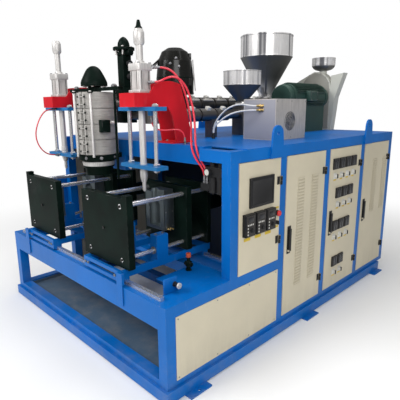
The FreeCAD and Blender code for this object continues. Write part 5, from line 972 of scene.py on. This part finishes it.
def build_fittings():
    dial = turned("gauge_case", [(23.5, 0), (25, 2), (25, 10), (23.5, 12), (20.5, 12), (20.5, 9)],
                  (890.5, -992.5, 1310), "-y", 32)
    caps = [turned("bowl_cap", [(29.5, 0), (30, 2), (30, 20), (28.5, 23)], (x, -940.5, 1256), sides=20)
            for x in (890.5, 959.5)]
    plugs = [turned("bowl_drain", [(10, 0), (10, 6), (6, 7), (6, 14)], (x, -940.5, 1170.5), "-z", 12)
             for x in (890.5, 959.5)]
    fit(joined("air_unit_trim", [dial, *caps, *plugs]), "hinge_black")
    face = turned("gauge_face", [(20.3, 0), (20.3, 0.8)], (890.5, -1002, 1310), "-y", 32)
    fit(face, "pale_plastic")
    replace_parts(fit(block("buffer_plate", (920, -1412, 615), (932, -1310, 710)), "blue_paint"), "bed_fittings")
    tube = [(8.5, 0), (8.5, 30), (14.5, 31), (14.5, 50), (17, 51), (17, 61), (15, 62), (15, 100)]
    fit(turned("buffer_tube", tube, (872, -1330, 662.5), "x", 28), "hinge_black")
    head = turned("buffer_head", [(17.5, 0), (19.5, 2), (19.5, 7), (17, 9), (8, 9), (7, 5)],
                  (971, -1330, 662.5), "x", 28)
    fit(head, "cylinder_alloy")
    body = turned("valve_body", [(21, 0), (21, 8), (15, 10), (15, 30), (23, 34), (23, 62), (14, 68), (12, 96)],
                  (750, -1041, 615), sides=24)
    arm = turned("valve_arm", [(12, 0), (15, 2), (15, 16), (10, 18), (10, 50), (15, 52), (15, 64), (12, 66)],
                 (717, -1041, 662), "x", 20)
    fit(joined("valve", [body, arm]), "black_steel")
    cap = turned("valve_cap", [(15, 0), (17.6, 2), (17.6, 24), (16, 29), (12, 30.5)], (750, -1041, 710.5),
                 sides=24)
    fit(cap, "orange_cap")
    fasten("rail_screws", "pan", [(x, y, 640.2) for x in (-70, 950) for y in (-1473, -750)])
    tower = [block("tower_base", (-250, -902, 1595), (-130, -782, 1873), 3),
             block("tower_column", (-230, -882, 1870), (-150, -802, 2128), 3),
             turned("tower_drive", [(22, 0), (26, 3), (26, 50), (20, 54)], (-146, -842, 2144), "x", 24),
             turned("tower_top", [(50, 2126), (54, 2128), (54, 2150), (42, 2152), (42, 2163), (84, 2164),
                                  (86, 2167), (86, 2184), (84, 2187), (48, 2188), (48, 2206), (45, 2222),
                                  (36, 2242), (20, 2260), (6, 2267)], (*TOWER, 0), sides=40)]
    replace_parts(fit(joined("feed_tower_body", tower), "black_steel"), "feed_tower")
    tower_turn = 17.1887
    fasten("tower_bolts", "bolt", ring(*TOWER, 2186.8, 70, 6, tower_turn), finish="cylinder_alloy")
    posts = [turned("tower_post", [(6.5, 0), (6.5, 36)], spot, sides=12)
             for spot in ring(*TOWER, 2128, 68, 6, tower_turn)]
    fit(joined("tower_posts", posts), "cylinder_alloy")
    knobs = [turned("tower_knob", [(10, 0), (10, 18), (24, 22), (24, 44), (18, 50)], (-151, -842, z), "x", 20)
             for z in (2060, 1960)]
    fit(joined("tower_knobs", knobs), "hinge_black")
    hoops = [turned("drum_band", [(167.5, z), (168.3, z + 2), (168.3, z + 14), (167.5, z + 16)],
                    (*DRUM, 0), sides=64) for z in (1832, 1960)]
    fit(joined("drum_bands", hoops), "black_steel")
    fasten("drum_screws", "pan", around(*DRUM, 1840, 168, 12))
    hood = [block("hood_flap", (-65, -60, -5), (65, 60, 5)), block("hood_lug", (-14, -22, -26), (14, 22, 26)),
            turned("hood_strap", [(5, -135), (5, 135)], sides=12)]
    x, y = DRUM
    for piece, out, high, lean in zip(hood, (-155, 134, 171), (2112, 2156, 1995), (-40, 0, -4.7)):
        put(piece, (x + out * 0.702, y + out * 0.712, high), (0, lean, 45.4))
    fit(joined("drum_hood", hood[:2]), "gloss_black")
    fit(joined("drum_strap", hood[2:]), "cylinder_alloy")
    nuts = [(*polar(*DRUM, out, turn), high, (0, 62, turn))
            for out, high, turn in ((156, 2062, -29), (147, 2130, -37), (155, 2086, -56))]
    fasten("drum_nuts", "bolt", nuts)


set_camera()
bpy.context.scene.view_settings.view_transform = "Standard"
FINISHES = mix_finishes()
paint_nodes(FINISHES)
lay_hoses()
fit_hose_ends()
SMALL = make_masters()
build_blow_units()
build_die_head()
build_stations()
build_doors()
build_hoppers()
build_drive()
build_cooler()
build_fittings()
clear_away(*SMALL.values())
lay_floor()
light_world()
hang_lamp("key_lamp", (-2.0, -6.5, 5.5), (0, 0, 0.9), (4, 3), 360)
hang_lamp("side_lamp", (4.6, -3.2, 3.4), (0.6, -0.8, 0.9), (3.0, 2.6), 132)
hang_lamp("top_lamp", (0.5, 0.5, 6.5), (0, 0, 1.0), (4, 4), 160)
